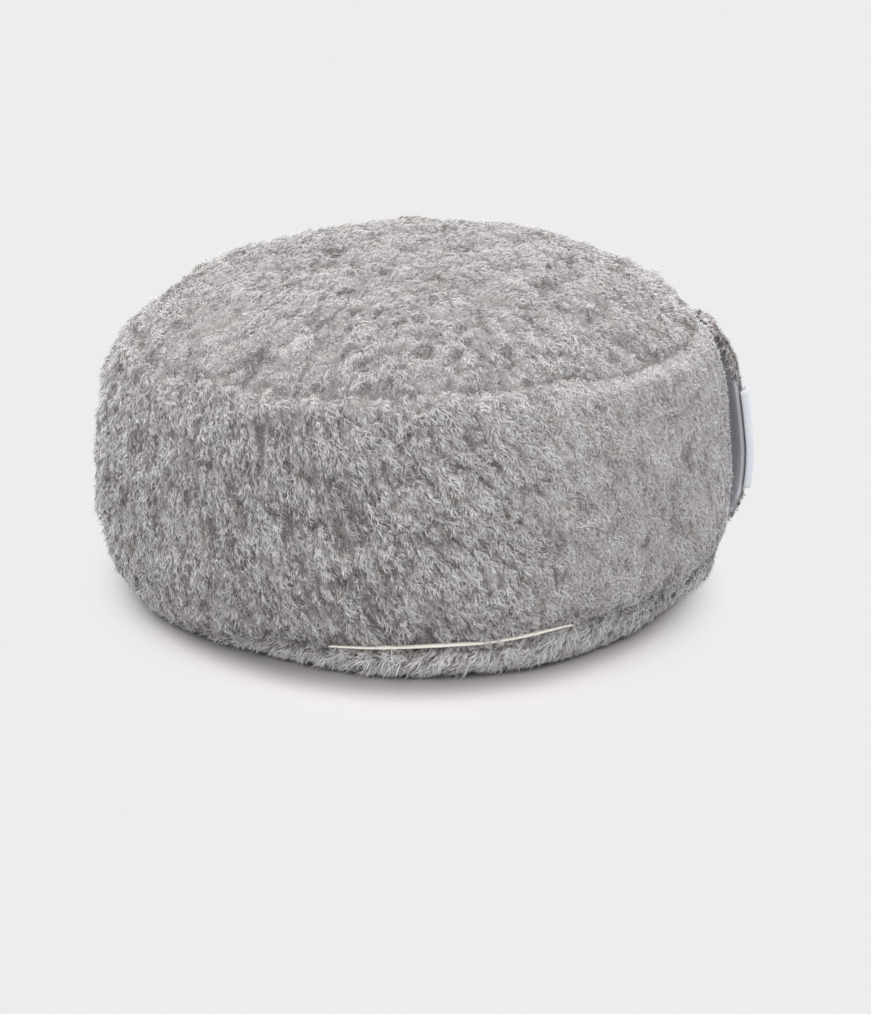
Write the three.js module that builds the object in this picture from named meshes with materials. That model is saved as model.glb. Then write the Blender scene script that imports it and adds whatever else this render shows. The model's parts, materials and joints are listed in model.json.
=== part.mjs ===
// Round floor cushion of long-pile fleece with a carry handle, in millimetres, +Z up.
// The origin is the centre of the flat base on the floor, and the handle is centred on +X.
// Every solid reaches as far as its pile does.

import * as THREE from 'three';
import { mergeVertices } from 'three/addons/utils/BufferGeometryUtils.js';

// Driving dimensions of the cushion
const WIDEST_RADIUS = 190;
const WIDEST_HEIGHT = 67;
const LOWER_SEAM_RADIUS = 177;
const CROWN_RADIUS = 172;
const CROWN_BASE = 153;
const CROWN_RISE = 44.5;
const CROWN_POWER = 3.2;
const SHOULDER_POWER = 2; // roundness of the band above its widest line
const SKIRT_POWER = 2.8; // roundness of the band below it
const RIM_TUCK = 9; // how far the flat base stays inside the bottom rim
const RIM_OVER_SEAM = 3; // how far the rim always stands out past the lower seam
const SEAM_REACH = 22; // the skin is held smooth this far from a seam

// Driving dimensions of the handle, the label on it and the cover's opening edge
const STRAP_WIDTH = 38;
const LINING_WIDTH = 35;
const LINING_THICKNESS = 2.2;
const PILE_THICKNESS = 5.2;
const SEWN_FULLNESS = 0.45; // share of the pile's thickness left where the strap is sewn in
const SEWN_REACH = 0.22; // share of the route over which the pile fills out
const PIECE_GAP = 0.3;
const LABEL_THICKNESS = 1.1;
const LABEL_CLEARANCE = 0.5; // the strap and the label bend in steps of their own
const LABEL_TOP = 104;
const LABEL_BOTTOM = 44;
const LABEL_WRAP_STEPS = 4; // steps of the pile's outline that the label covers, from its front edge
const OPENING_EDGE = { from: -113, to: -71, inner: 182.1, outer: 185.6, thickness: 1.7 };

// Heights of the two seams and radius of the bottom rim round the cushion, azimuth from +X in degrees
const UPPER_SEAM = [
  { azimuth: -160, height: 150.5, radius: 172 },
  { azimuth: -152, height: 148.5, radius: 171 },
  { azimuth: -138, height: 151.5, radius: 172 },
  { azimuth: -108, height: 154, radius: 172 },
  { azimuth: -74, height: 157.5, radius: 172 },
  { azimuth: -50, height: 154, radius: 172 },
  { azimuth: -24, height: 155, radius: 171 },
  { azimuth: -6, height: 153.5, radius: 167 },
  { azimuth: 6, height: 154.5, radius: 167 },
  { azimuth: 18, height: 156.5, radius: 172 },
  { azimuth: 50, height: 157, radius: 172 },
  { azimuth: 85, height: 155, radius: 172 },
  { azimuth: 140, height: 151.5, radius: 172 },
];
const LOWER_SEAM = [
  { azimuth: -170, height: 10 },
  { azimuth: -145, height: 9.5 },
  { azimuth: -117, height: 18 },
  { azimuth: -90, height: 21 },
  { azimuth: -66, height: 25 },
  { azimuth: -40, height: 22.5 },
  { azimuth: 0, height: 20 },
  { azimuth: 60, height: 15 },
  { azimuth: 130, height: 12 },
];
const RIM = [
  { azimuth: -160, radius: 177 },
  { azimuth: -128, radius: 174 },
  { azimuth: -99, radius: 184 },
  { azimuth: -80, radius: 184 },
  { azimuth: -60, radius: 177 },
  { azimuth: -40, radius: 171 },
  { azimuth: -16, radius: 181 },
  { azimuth: 40, radius: 181 },
  { azimuth: 100, radius: 179 },
];

// The upper seam's channel, from the lip of the band inwards over the edge of the top panel
const UPPER_CHANNEL = [
  { inward: 0.4, rise: 0.4 },
  { inward: 1.9, rise: 0.8 },
  { inward: 3.8, rise: -1.2 },
  { inward: 6.2, rise: 1.6 },
  { inward: 9.4, rise: 6.2 },
];

// Soft hollows (depth above zero) and lumps (below zero), each along its own direction:
// turn 0 runs round the cushion, turn 90 up the band or towards the crown's middle
const TOP_RELIEF = [
  { azimuth: -115, radius: 158, length: 15, width: 8, turn: 5, depth: 5 },
  { azimuth: -129, radius: 152, length: 11, width: 7, turn: 20, depth: 3.2 },
  { azimuth: -118, radius: 127, length: 9, width: 6, turn: 0, depth: 2.6 },
  { azimuth: -111, radius: 80, length: 10, width: 7, turn: 0, depth: 2.2 },
  { azimuth: -140, radius: 116, length: 12, width: 7, turn: 30, depth: 2.2 },
  { azimuth: -95, radius: 135, length: 26, width: 14, turn: -10, depth: -2.6 },
  { azimuth: -73, radius: 112, length: 22, width: 13, turn: 0, depth: -2 },
  { azimuth: -80, radius: 160, length: 14, width: 7, turn: 0, depth: 2.4 },
  { azimuth: -60, radius: 158, length: 9, width: 12, turn: 60, depth: 3 },
  { azimuth: -50, radius: 156, length: 8, width: 10, turn: 70, depth: 2.6 },
  { azimuth: -64, radius: 125, length: 11, width: 7, turn: -20, depth: 2 },
  { azimuth: -37, radius: 137, length: 13, width: 8, turn: -35, depth: 2.2 },
  { azimuth: 34, radius: 54, length: 16, width: 8, turn: 0, depth: 2 },
  { azimuth: 80, radius: 132, length: 20, width: 11, turn: 15, depth: 2.4 },
  { azimuth: 135, radius: 140, length: 17, width: 9, turn: -10, depth: 2.8 },
  { azimuth: -175, radius: 128, length: 14, width: 9, turn: 25, depth: 2.2 },
];
const BAND_RELIEF = [
  { azimuth: -58, height: 107, length: 22, width: 6, turn: 90, depth: 2.4 },
  { azimuth: -66, height: 108, length: 24, width: 11, turn: 90, depth: -1.6 },
  { azimuth: -51, height: 74, length: 12, width: 9, turn: 20, depth: 1.8 },
  { azimuth: -99, height: 124, length: 18, width: 9, turn: 60, depth: 1.8 },
  { azimuth: -98.6, height: 110, length: 7, width: 4, turn: -25, depth: 2.2 },
  { azimuth: -110, height: 132, length: 11, width: 7, turn: 70, depth: 2.2 },
  { azimuth: -128, height: 115, length: 14, width: 7, turn: 90, depth: 2 },
  { azimuth: -136, height: 62, length: 22, width: 5, turn: 90, depth: 2.4 },
  { azimuth: -131, height: 60, length: 18, width: 5, turn: 90, depth: 1.6 },
  { azimuth: -139, height: 138, length: 10, width: 6, turn: 90, depth: 2.4 },
  { azimuth: -159, height: 128, length: 12, width: 7, turn: 90, depth: 2.4 },
  { azimuth: -158, height: 149, length: 6, width: 6, turn: 90, depth: 3 },
  { azimuth: -81, height: 142, length: 14, width: 8, turn: 0, depth: 1.4 },
  { azimuth: 48, height: 92, length: 26, width: 8, turn: 90, depth: 2.2 },
  { azimuth: 96, height: 112, length: 20, width: 9, turn: 70, depth: 2.4 },
  { azimuth: 145, height: 84, length: 26, width: 8, turn: 90, depth: 2.4 },
  { azimuth: 176, height: 82, length: 90, width: 22, turn: 0, depth: -2.4 },
  { azimuth: 172, height: 138, length: 80, width: 14, turn: 0, depth: 3.4 },
  { azimuth: -20, height: 128, length: 30, width: 22, turn: 0, depth: 2 },
];

// Slow waves over the whole skin, as uneven stuffing gives them: length and height of each wave, the
// heading in which it runs over the plan, and how many turns it makes over a metre of height
const WAVES = [
  { length: 150, heading: 20, climb: 9, phase: 0.7, height: 0.8 },
  { length: 105, heading: 115, climb: -14, phase: 2.4, height: 0.65 },
  { length: 74, heading: 65, climb: 19, phase: 4.1, height: 0.5 },
  { length: 56, heading: 170, climb: -25, phase: 1.3, height: 0.35 },
];

// The band is drawn in where the handle crosses it, which leaves room for a hand
const POCKET_SPREAD = 10;
const HANDLE_POCKET = [
  { height: 16, depth: 0 },
  { height: 45, depth: 4 },
  { height: 84, depth: 5 },
  { height: 112, depth: 6.2 },
  { height: 130, depth: 7 },
  { height: 143, depth: 8 },
  { height: 150, depth: 4.5 },
  { height: 155, depth: 0 },
];

// Inner face of the strap from the upper seam to the lower one, reach from the axis along +X
const STRAP_ROUTE = [
  { reach: 172, height: 144.9 },
  { reach: 177, height: 138.8 },
  { reach: 182, height: 129.4 },
  { reach: 186.4, height: 117.5 },
  { reach: 189.8, height: 103 },
  { reach: 193, height: 84 },
  { reach: 195.2, height: 65 },
  { reach: 194.6, height: 46 },
  { reach: 192.2, height: 33 },
  { reach: 188, height: 25 },
  { reach: 181.8, height: 20.4 },
];

// Steps of the meshes
const STEPS_AROUND = 96;
const BASE_RINGS = [0.35, 0.7];
const RIM_STEPS = 6;
const SKIRT_STEPS = 7;
const SHOULDER_STEPS = 11;
const CROWN_STEPS = 13;
const STRAP_STEPS = 30;
const STRAP_SECTION_STEPS = 10;
const LABEL_STEPS = 12;
const OPENING_EDGE_STEPS = 28;

const degrees = THREE.MathUtils.degToRad;

const FLEECE = { color: 0xa8a5a5, roughness: 0.95, metalness: 0 };
const HANDLE_FLEECE = { color: 0x9c9999, roughness: 0.95, metalness: 0 };
const LINING = { color: 0x8f8d94, roughness: 0.8, metalness: 0 };
const LABEL = { color: 0xe6e8ee, roughness: 0.6, metalness: 0 };
const ECRU = { color: 0xdcdacb, roughness: 0.85, metalness: 0 };

// Signed turn in degrees from one azimuth to another, between -180 and 180
function turnBetween(from, to) {
  return THREE.MathUtils.euclideanModulo(to - from + 180, 360) - 180;
}

// Value of a column at an azimuth, eased between the rows of a table that closes on itself
function around(table, column, azimuth) {
  const rows = table.length;
  for (let i = 0; i < rows; i += 1) {
    const row = table[i];
    const next = table[(i + 1) % rows];
    const span = THREE.MathUtils.euclideanModulo(next.azimuth - row.azimuth, 360);
    const along = THREE.MathUtils.euclideanModulo(azimuth - row.azimuth, 360);
    if (along < span) {
      const share = THREE.MathUtils.smoothstep(along, 0, span);
      return row[column] + (next[column] - row[column]) * share;
    }
  }
  return table[0][column];
}

// Height of the top panel over a radius, without its relief
function crownHeight(radius, seamHeight) {
  const share = radius / CROWN_RADIUS;
  const seamShift = (seamHeight - CROWN_BASE) * share * share;
  return CROWN_BASE + CROWN_RISE * (1 - share ** CROWN_POWER) + seamShift;
}

// One soft hollow or lump, by how far a place lies from its middle
function hollow(row, across, up) {
  const turn = degrees(row.turn);
  const along = (across * Math.cos(turn) + up * Math.sin(turn)) / row.length;
  const beside = (up * Math.cos(turn) - across * Math.sin(turn)) / row.width;
  return row.depth * Math.exp(-0.5 * (along * along + beside * beside));
}

function topRelief(azimuth, radius) {
  let depth = 0;
  for (const row of TOP_RELIEF) {
    const across = degrees(turnBetween(row.azimuth, azimuth)) * row.radius;
    depth += hollow(row, across, row.radius - radius);
  }
  return depth;
}

// How far the middle of the handle's pocket is drawn in at a height
function pocketDepth(height) {
  const above = HANDLE_POCKET.findIndex((row) => row.height > height);
  if (above <= 0) return 0;
  const low = HANDLE_POCKET[above - 1];
  const high = HANDLE_POCKET[above];
  const share = THREE.MathUtils.smoothstep(height, low.height, high.height);
  return low.depth + (high.depth - low.depth) * share;
}

function bandRelief(azimuth, height) {
  let depth = 0;
  for (const row of BAND_RELIEF) {
    const across = degrees(turnBetween(row.azimuth, azimuth)) * WIDEST_RADIUS;
    depth += hollow(row, across, height - row.height);
  }
  const away = turnBetween(0, azimuth) / POCKET_SPREAD;
  return depth + pocketDepth(height) * Math.exp(-0.5 * away * away);
}

// Height of the slow waves at a place of the skin
function waves(azimuth, radius, height) {
  let sum = 0;
  for (const wave of WAVES) {
    const across = radius * Math.cos(degrees(azimuth - wave.heading));
    const turns = across / wave.length + (wave.climb * height) / 1000;
    sum += wave.height * Math.sin(2 * Math.PI * turns + wave.phase);
  }
  return sum;
}

// Fades the waves out over a distance from a seam
function offSeam(distance) {
  return THREE.MathUtils.smoothstep(Math.abs(distance), 0, SEAM_REACH);
}

// Radii and heights from the base's inner ring to the crown's inner ring, at one azimuth
function outline(azimuth) {
  const upper = around(UPPER_SEAM, 'height', azimuth);
  const upperRadius = around(UPPER_SEAM, 'radius', azimuth);
  const lower = around(LOWER_SEAM, 'height', azimuth);
  const rim = around(RIM, 'radius', azimuth);
  const seamRadius = Math.min(LOWER_SEAM_RADIUS, rim - RIM_OVER_SEAM);
  const foot = rim - RIM_TUCK;
  const points = BASE_RINGS.map((share) => [foot * share, 0]);

  for (let i = 0; i <= RIM_STEPS; i += 1) {
    const angle = (i / RIM_STEPS - 0.5) * Math.PI;
    const inner = angle < 0 ? foot : seamRadius;
    points.push([inner + (rim - inner) * Math.cos(angle), 0.5 * lower * (1 + Math.sin(angle))]);
  }

  for (let i = 1; i <= SKIRT_STEPS; i += 1) {
    const share = Math.cos((i / SKIRT_STEPS) * 0.5 * Math.PI) ** (2 / SKIRT_POWER);
    const out = Math.sin((i / SKIRT_STEPS) * 0.5 * Math.PI) ** (2 / SKIRT_POWER);
    const height = WIDEST_HEIGHT - (WIDEST_HEIGHT - lower) * share;
    const radius = seamRadius + (WIDEST_RADIUS - seamRadius) * out;
    const swell = waves(azimuth, radius, height) * offSeam(height - lower);
    points.push([radius + swell - bandRelief(azimuth, height), height]);
  }

  for (let i = 1; i < SHOULDER_STEPS; i += 1) {
    const share = Math.sin((i / SHOULDER_STEPS) * 0.5 * Math.PI) ** (2 / SHOULDER_POWER);
    const out = Math.cos((i / SHOULDER_STEPS) * 0.5 * Math.PI) ** (2 / SHOULDER_POWER);
    const height = WIDEST_HEIGHT + (upper - WIDEST_HEIGHT) * share;
    const radius = upperRadius + (WIDEST_RADIUS - upperRadius) * out;
    const swell = waves(azimuth, radius, height) * offSeam(upper - height);
    points.push([radius + swell - bandRelief(azimuth, height), height]);
  }

  for (const step of UPPER_CHANNEL) {
    const radius = upperRadius - step.inward;
    const relief = topRelief(azimuth, radius) * Math.min(1, step.inward / 6);
    points.push([radius, upper + step.rise - relief]);
  }

  const innerEdge = upperRadius - UPPER_CHANNEL.at(-1).inward;
  for (let i = 1; i < CROWN_STEPS; i += 1) {
    const share = 1 - i / CROWN_STEPS;
    const radius = innerEdge * share ** 0.9;
    const height = crownHeight(radius, upper);
    const swell = waves(azimuth, radius, height) * offSeam(innerEdge - radius);
    points.push([radius, height + swell - topRelief(azimuth, radius)]);
  }
  return points;
}

// Closed mesh from rings of equally many points; its two ends are closed by the faces given, which
// name points of the first ring from 0 up, and of the last ring, and any extra points after the rings
function closedMesh(rings, extraPoints, firstFaces, lastFaces) {
  const count = rings[0].length;
  const last = (rings.length - 1) * count;
  const index = [];
  for (let start = 0; start < last; start += count) {
    for (let i = 0; i < count; i += 1) {
      const next = (i + 1) % count;
      index.push(start + i, start + next, start + count + next);
      index.push(start + i, start + count + next, start + count + i);
    }
  }
  firstFaces.forEach(([a, b, c]) => index.push(a, c, b));
  lastFaces.forEach(([a, b, c]) => index.push(a, b, c));
  const geometry = new THREE.BufferGeometry();
  const positions = [...rings.flat(2), ...extraPoints.flat()];
  geometry.setAttribute('position', new THREE.Float32BufferAttribute(positions, 3));
  geometry.setIndex(index);
  const merged = mergeVertices(geometry, 1e-3);
  merged.computeVertexNormals();
  return merged;
}

// Closed mesh from one section's rings along a route, with both ends cut straight
function closedSweep(rings, section) {
  const contour = section.map(([across, out]) => new THREE.Vector2(across, out));
  const faces = THREE.ShapeUtils.triangulateShape(contour, []);
  const wound = THREE.ShapeUtils.isClockWise(contour) ? faces.map(([a, b, c]) => [a, c, b]) : faces;
  const last = (rings.length - 1) * section.length;
  return closedMesh(rings, [], wound, wound.map((face) => face.map((point) => point + last)));
}

// The filled cushion, from the middle of its flat base to the middle of its crown
function cushionGeometry() {
  const outlines = [];
  for (let i = 0; i < STEPS_AROUND; i += 1) {
    const azimuth = (360 * i) / STEPS_AROUND;
    const turn = degrees(azimuth);
    outlines.push(outline(azimuth).map(([radius, height]) => (
      [radius * Math.cos(turn), radius * Math.sin(turn), height]
    )));
  }
  const rings = outlines[0].map((_, ring) => outlines.map((points) => points[ring]));
  const top = crownHeight(0, CROWN_BASE);
  const crown = [0, 0, top + waves(0, 0, top)];
  const last = (rings.length - 1) * STEPS_AROUND;
  const base = rings.length * STEPS_AROUND;
  const fan = (middle, start) => rings[0].map((_, i) => (
    [middle, start + i, start + ((i + 1) % STEPS_AROUND)]
  ));
  return closedMesh(rings, [[0, 0, 0], crown], fan(base, 0), fan(base + 1, last));
}

// Smooth route of the strap's inner face in the plane of the handle
const strapRoute = new THREE.CatmullRomCurve3(
  STRAP_ROUTE.map((row) => new THREE.Vector3(row.reach, 0, row.height)),
  false,
  'centripetal',
);

// Share of its full thickness that the pile half has along the route, thin where it is sewn in
function fullness(share) {
  const fromEnd = Math.min(share, 1 - share);
  return SEWN_FULLNESS + (1 - SEWN_FULLNESS) * THREE.MathUtils.smoothstep(fromEnd, 0, SEWN_REACH);
}

// Sweeps a section of [across, outward] points, which may change on its way, along the strap's route
function alongStrap(sectionAt, from, to, steps) {
  const rings = [];
  for (let i = 0; i <= steps; i += 1) {
    const share = from + (to - from) * (i / steps);
    const place = strapRoute.getPointAt(share);
    const along = strapRoute.getTangentAt(share);
    const outward = new THREE.Vector3(-along.z, 0, along.x);
    rings.push(sectionAt(share).map(([across, out]) => (
      [place.x + outward.x * out, across, place.z + outward.z * out]
    )));
  }
  return closedSweep(rings, sectionAt(from));
}

// Point of the pile half's outline above its flat inner side, a flattened arch, from +Y to -Y
function pileArch(step, growth, full) {
  const angle = (Math.PI * step) / STRAP_SECTION_STEPS;
  const flat = 0.55;
  const across = Math.sign(Math.cos(angle)) * Math.abs(Math.cos(angle)) ** flat;
  const out = Math.sin(angle) ** flat;
  const halfWidth = 0.5 * STRAP_WIDTH + growth;
  const height = full * PILE_THICKNESS + growth;
  return [across * halfWidth, LINING_THICKNESS + PIECE_GAP + out * height];
}

function handlePileGeometry() {
  const steps = Array.from({ length: STRAP_SECTION_STEPS + 1 }, (_, i) => i);
  const sectionAt = (share) => steps.map((step) => pileArch(step, 0, fullness(share)));
  return alongStrap(sectionAt, 0, 1, STRAP_STEPS);
}

function handleLiningGeometry() {
  const half = 0.5 * LINING_WIDTH;
  const bevel = 0.25 * LINING_THICKNESS;
  const section = [
    [bevel - half, 0],
    [half - bevel, 0],
    [half, bevel],
    [half, LINING_THICKNESS],
    [-half, LINING_THICKNESS],
    [-half, bevel],
  ];
  return alongStrap(() => section, 0, 1, STRAP_STEPS);
}

// Share of the strap's route at which its inner face passes a height
function routeShareAt(height) {
  let low = 0;
  let high = 1;
  while (high - low > 1e-4) {
    const middle = 0.5 * (low + high);
    if (strapRoute.getPointAt(middle).z > height) low = middle;
    else high = middle;
  }
  return 0.5 * (low + high);
}

// The blank label is folded over the front edge of the pile, a little clear of it
function handleLabelGeometry() {
  const steps = Array.from({ length: LABEL_WRAP_STEPS + 1 }, (_, i) => STRAP_SECTION_STEPS - i);
  const sectionAt = (share) => {
    const full = fullness(share);
    const inner = steps.map((step) => pileArch(step, LABEL_CLEARANCE, full));
    const outer = steps.map((step) => pileArch(step, LABEL_CLEARANCE + LABEL_THICKNESS, full));
    return [...inner, ...outer.reverse()];
  };
  return alongStrap(sectionAt, routeShareAt(LABEL_TOP), routeShareAt(LABEL_BOTTOM), LABEL_STEPS);
}

// The ecru edge of the cover's opening follows the lower seam across the front
function openingEdgeGeometry() {
  const { from, to, inner, outer, thickness } = OPENING_EDGE;
  const half = 0.5 * thickness;
  const section = [
    [inner, half],
    [outer, half],
    [outer + PIECE_GAP, 0],
    [outer, -half],
    [inner, -half],
  ];
  const rings = [];
  for (let i = 0; i <= OPENING_EDGE_STEPS; i += 1) {
    const azimuth = from + ((to - from) * i) / OPENING_EDGE_STEPS;
    const turn = degrees(azimuth);
    const height = around(LOWER_SEAM, 'height', azimuth);
    rings.push(section.map(([radius, rise]) => (
      [radius * Math.cos(turn), radius * Math.sin(turn), height + rise]
    )));
  }
  return closedSweep(rings, section);
}

function namedMesh(name, geometry, finish) {
  const mesh = new THREE.Mesh(geometry, new THREE.MeshStandardMaterial(finish));
  mesh.name = name;
  return mesh;
}

const cushion = new THREE.Group();
cushion.add(
  namedMesh('cushion', cushionGeometry(), FLEECE),
  namedMesh('handle_pile', handlePileGeometry(), HANDLE_FLEECE),
  namedMesh('handle_lining', handleLiningGeometry(), LINING),
  namedMesh('handle_label', handleLabelGeometry(), LABEL),
  namedMesh('placket_edge', openingEdgeGeometry(), ECRU),
);

export default cushion;
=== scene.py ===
"""Looks of the round zafu meditation cushion: fleece, carry handle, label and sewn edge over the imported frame."""

from __future__ import annotations

import json
import logging
import math
from dataclasses import dataclass, fields, replace
from enum import Enum

import bmesh
import bpy
import numpy as np
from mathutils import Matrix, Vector, noise

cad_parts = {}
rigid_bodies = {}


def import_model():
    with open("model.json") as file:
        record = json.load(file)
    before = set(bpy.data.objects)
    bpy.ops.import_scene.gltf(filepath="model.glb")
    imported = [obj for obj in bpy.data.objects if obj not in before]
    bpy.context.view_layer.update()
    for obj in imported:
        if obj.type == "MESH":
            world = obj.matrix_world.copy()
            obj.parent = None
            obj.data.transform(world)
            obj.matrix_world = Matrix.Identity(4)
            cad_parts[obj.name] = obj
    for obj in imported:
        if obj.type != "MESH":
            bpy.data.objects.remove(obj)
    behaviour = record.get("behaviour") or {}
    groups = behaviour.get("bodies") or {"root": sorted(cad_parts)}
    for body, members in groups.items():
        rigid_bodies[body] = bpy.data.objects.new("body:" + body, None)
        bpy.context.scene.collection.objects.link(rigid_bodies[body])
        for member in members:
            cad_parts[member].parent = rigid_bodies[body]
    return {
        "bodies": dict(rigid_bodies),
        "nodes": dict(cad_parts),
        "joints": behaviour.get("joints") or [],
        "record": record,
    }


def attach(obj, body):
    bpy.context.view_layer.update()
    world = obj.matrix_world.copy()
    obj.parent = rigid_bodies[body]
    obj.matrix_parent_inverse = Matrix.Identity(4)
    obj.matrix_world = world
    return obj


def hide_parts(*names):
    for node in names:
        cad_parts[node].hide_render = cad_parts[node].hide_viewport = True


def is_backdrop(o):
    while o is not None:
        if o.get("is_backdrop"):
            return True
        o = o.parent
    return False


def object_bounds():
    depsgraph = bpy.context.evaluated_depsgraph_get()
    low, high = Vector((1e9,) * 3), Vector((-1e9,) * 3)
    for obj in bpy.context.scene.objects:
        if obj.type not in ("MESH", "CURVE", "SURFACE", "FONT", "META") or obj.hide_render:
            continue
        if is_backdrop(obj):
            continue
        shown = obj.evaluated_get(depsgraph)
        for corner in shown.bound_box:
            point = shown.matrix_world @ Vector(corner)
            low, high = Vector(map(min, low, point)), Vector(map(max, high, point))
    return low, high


LOG = logging.getLogger("zafu")
MM = 0.001
BODY = "root"
PILE_MAP = "OFBake"
BLACK = (0.0, 0.0, 0.0, 1.0)


class Panel(Enum):
    """The sewn panels of the cushion, each with a nap of its own."""

    CROWN = "crown"
    BAND = "band"
    BASE = "base"


class Graph:
    """A node tree as it is written: it adds nodes, sets their values and links them."""

    def __init__(self, tree: bpy.types.NodeTree) -> None:
        """Keeps the tree that the nodes go into."""
        self.tree = tree

    def add(self, kind: str, inputs: dict | None = None, **settings: object) -> bpy.types.Node:
        """Adds one node.

        Args:
            kind: Blender's name of the node type.
            inputs: socket name or number to a value or to the output it is linked from.
            settings: the node's own properties.

        Returns:
            The new node.
        """
        node = self.tree.nodes.new(kind)
        for name, value in settings.items():
            setattr(node, name, value)
        for key, value in (inputs or {}).items():
            self.feed(node.inputs[key], value)
        return node

    def feed(self, socket: bpy.types.NodeSocket, value: object) -> None:
        """Links the socket from an output, or sets its value."""
        if isinstance(value, bpy.types.NodeSocket):
            self.tree.links.new(value, socket)
        else:
            socket.default_value = value

    def math(self, operation: str, *values: object) -> bpy.types.NodeSocket:
        """Adds a Math node and returns its output."""
        return self.add("ShaderNodeMath", dict(enumerate(values)), operation=operation).outputs[0]

    def vector(self, operation: str, *values: object) -> bpy.types.NodeSocket:
        """Adds a Vector Math node on plain vectors and returns its vector output."""
        return self.add("ShaderNodeVectorMath", dict(enumerate(values)), operation=operation).outputs[0]

    def measure(self, operation: str, *values: object) -> bpy.types.NodeSocket:
        """Adds a Vector Math node and returns its number."""
        return self.add("ShaderNodeVectorMath", dict(enumerate(values)), operation=operation).outputs["Value"]

    def scaled(self, vector: bpy.types.NodeSocket, factor: object) -> bpy.types.NodeSocket:
        """Returns the vector times the factor."""
        return self.add("ShaderNodeVectorMath", {0: vector, "Scale": factor}, operation="SCALE").outputs[0]

    def joined(self, *parts: object) -> bpy.types.NodeSocket:
        """Makes a vector of one to three numbers."""
        return self.add("ShaderNodeCombineXYZ", dict(enumerate(parts))).outputs[0]

    def mapped(self, value: bpy.types.NodeSocket, *limits: float) -> bpy.types.NodeSocket:
        """Adds a smooth Map Range node.

        Args:
            value: what is mapped.
            limits: where the slope starts and ends, then the values there, which are 0 and 1 if left out.

        Returns:
            The mapped value.
        """
        inputs = {0: value, **dict(enumerate(limits, start=1))}
        return self.add("ShaderNodeMapRange", inputs, interpolation_type="SMOOTHSTEP").outputs[0]

    def ramp(self, factor: object, stops: tuple[tuple[float, tuple[float, float, float]], ...]) -> bpy.types.NodeSocket:
        """Adds a colour ramp.

        Args:
            factor: what drives the ramp.
            stops: position and linear colour of each stop, in order.

        Returns:
            The colour output.
        """
        node = self.add("ShaderNodeValToRGB", {"Fac": factor})
        elements = node.color_ramp.elements
        while len(elements) < len(stops):
            elements.new(1.0)
        for element, (place, colour) in zip(elements, stops):
            element.position = place
            element.color = (*colour, 1.0)
        return node.outputs["Color"]

    def tint(self, first: object, second: object, blend: str = "MULTIPLY", share: object = 1.0) -> bpy.types.NodeSocket:
        """Adds a colour Mix node and returns its colour."""
        node = self.add("ShaderNodeMix", data_type="RGBA", blend_type=blend)
        for socket, value in zip((node.inputs[0], node.inputs[6], node.inputs[7]), (share, first, second)):
            self.feed(socket, value)
        return node.outputs[2]


def linear(red: float, green: float, blue: float) -> tuple[float, float, float]:
    """Returns a picture colour of 0 to 255 in linear light."""
    shares = (red / 255, green / 255, blue / 255)
    return tuple(share / 12.92 if share <= 0.04045 else ((share + 0.055) / 1.055) ** 2.4 for share in shares)


def smooth(low: float, high: float, value: np.ndarray) -> np.ndarray:
    """Returns 0 below low, 1 above high and an even slope between them."""
    share = np.clip((value - low) / (high - low), 0.0, 1.0)
    return share * share * (3.0 - 2.0 * share)


def around(rows: tuple[tuple[float, ...], ...], azimuth: np.ndarray, column: int = 1) -> np.ndarray:
    """Reads a table that goes round the cushion.

    Args:
        rows: azimuth in degrees and the values there.
        azimuth: where it is read, in degrees from -180 to 180.
        column: which value is read.

    Returns:
        The value at each azimuth.
    """
    turns = np.array([row[0] for row in rows])
    values = np.array([row[column] for row in rows])
    return np.interp(azimuth, np.concatenate((turns - 360, turns, turns + 360)), np.tile(values, 3))


def gap_to(places: np.ndarray, start: np.ndarray, end: np.ndarray) -> np.ndarray:
    """Returns how far each place is from the straight line between two points."""
    span = end - start
    share = np.clip((places - start) @ span / (span @ span), 0.0, 1.0)
    return np.linalg.norm(places - start - share[:, None] * span, axis=1)


def linked(name: str, mesh: bpy.types.Mesh) -> bpy.types.Object:
    """Makes an object of the mesh at the origin and links it into the scene."""
    piece = bpy.data.objects.new(name, mesh)
    bpy.context.scene.collection.objects.link(piece)
    return piece


def merged_copy(node: bpy.types.Object, name: str) -> bpy.types.Mesh:
    """Copies a node of the frame, in the row frame, with its loose triangles merged."""
    mesh = node.data.copy()
    mesh.name = name
    mesh.transform(node.matrix_world)
    work = bmesh.new()
    work.from_mesh(mesh)
    bmesh.ops.remove_doubles(work, verts=work.verts, dist=0.01 * MM)
    work.to_mesh(mesh)
    work.free()
    mesh.materials.clear()
    for attribute in [a for a in mesh.attributes if a.name == "custom_normal"]:
        mesh.attributes.remove(attribute)
    return mesh


def evaluated(piece: bpy.types.Object) -> bpy.types.Mesh:
    """Returns the mesh that the piece's modifiers make, as a plain mesh."""
    graph = bpy.context.evaluated_depsgraph_get()
    return bpy.data.meshes.new_from_object(piece.evaluated_get(graph), depsgraph=graph)


def settle(piece: bpy.types.Object) -> None:
    """Puts the result of the piece's modifiers in its mesh and removes them."""
    mesh = evaluated(piece)
    piece.modifiers.clear()
    old, piece.data = piece.data, mesh
    mesh.name = piece.name
    bpy.data.meshes.remove(old)


def refine(piece: bpy.types.Object, kind: str = "CATMULL_CLARK") -> None:
    """Divides each face of the piece into four, rounded or as flat as it was."""
    finer = piece.modifiers.new("finer", "SUBSURF")
    finer.subdivision_type = kind
    finer.levels = finer.render_levels = 1
    settle(piece)


def points_of(mesh: bpy.types.Mesh) -> tuple[np.ndarray, np.ndarray]:
    """Returns the places and the normals of the mesh's vertices."""
    places = np.empty(len(mesh.vertices) * 3)
    mesh.vertices.foreach_get("co", places)
    normals = np.empty(len(mesh.vertices) * 3)
    mesh.vertices.foreach_get("normal", normals)
    return places.reshape(-1, 3), normals.reshape(-1, 3)


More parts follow.
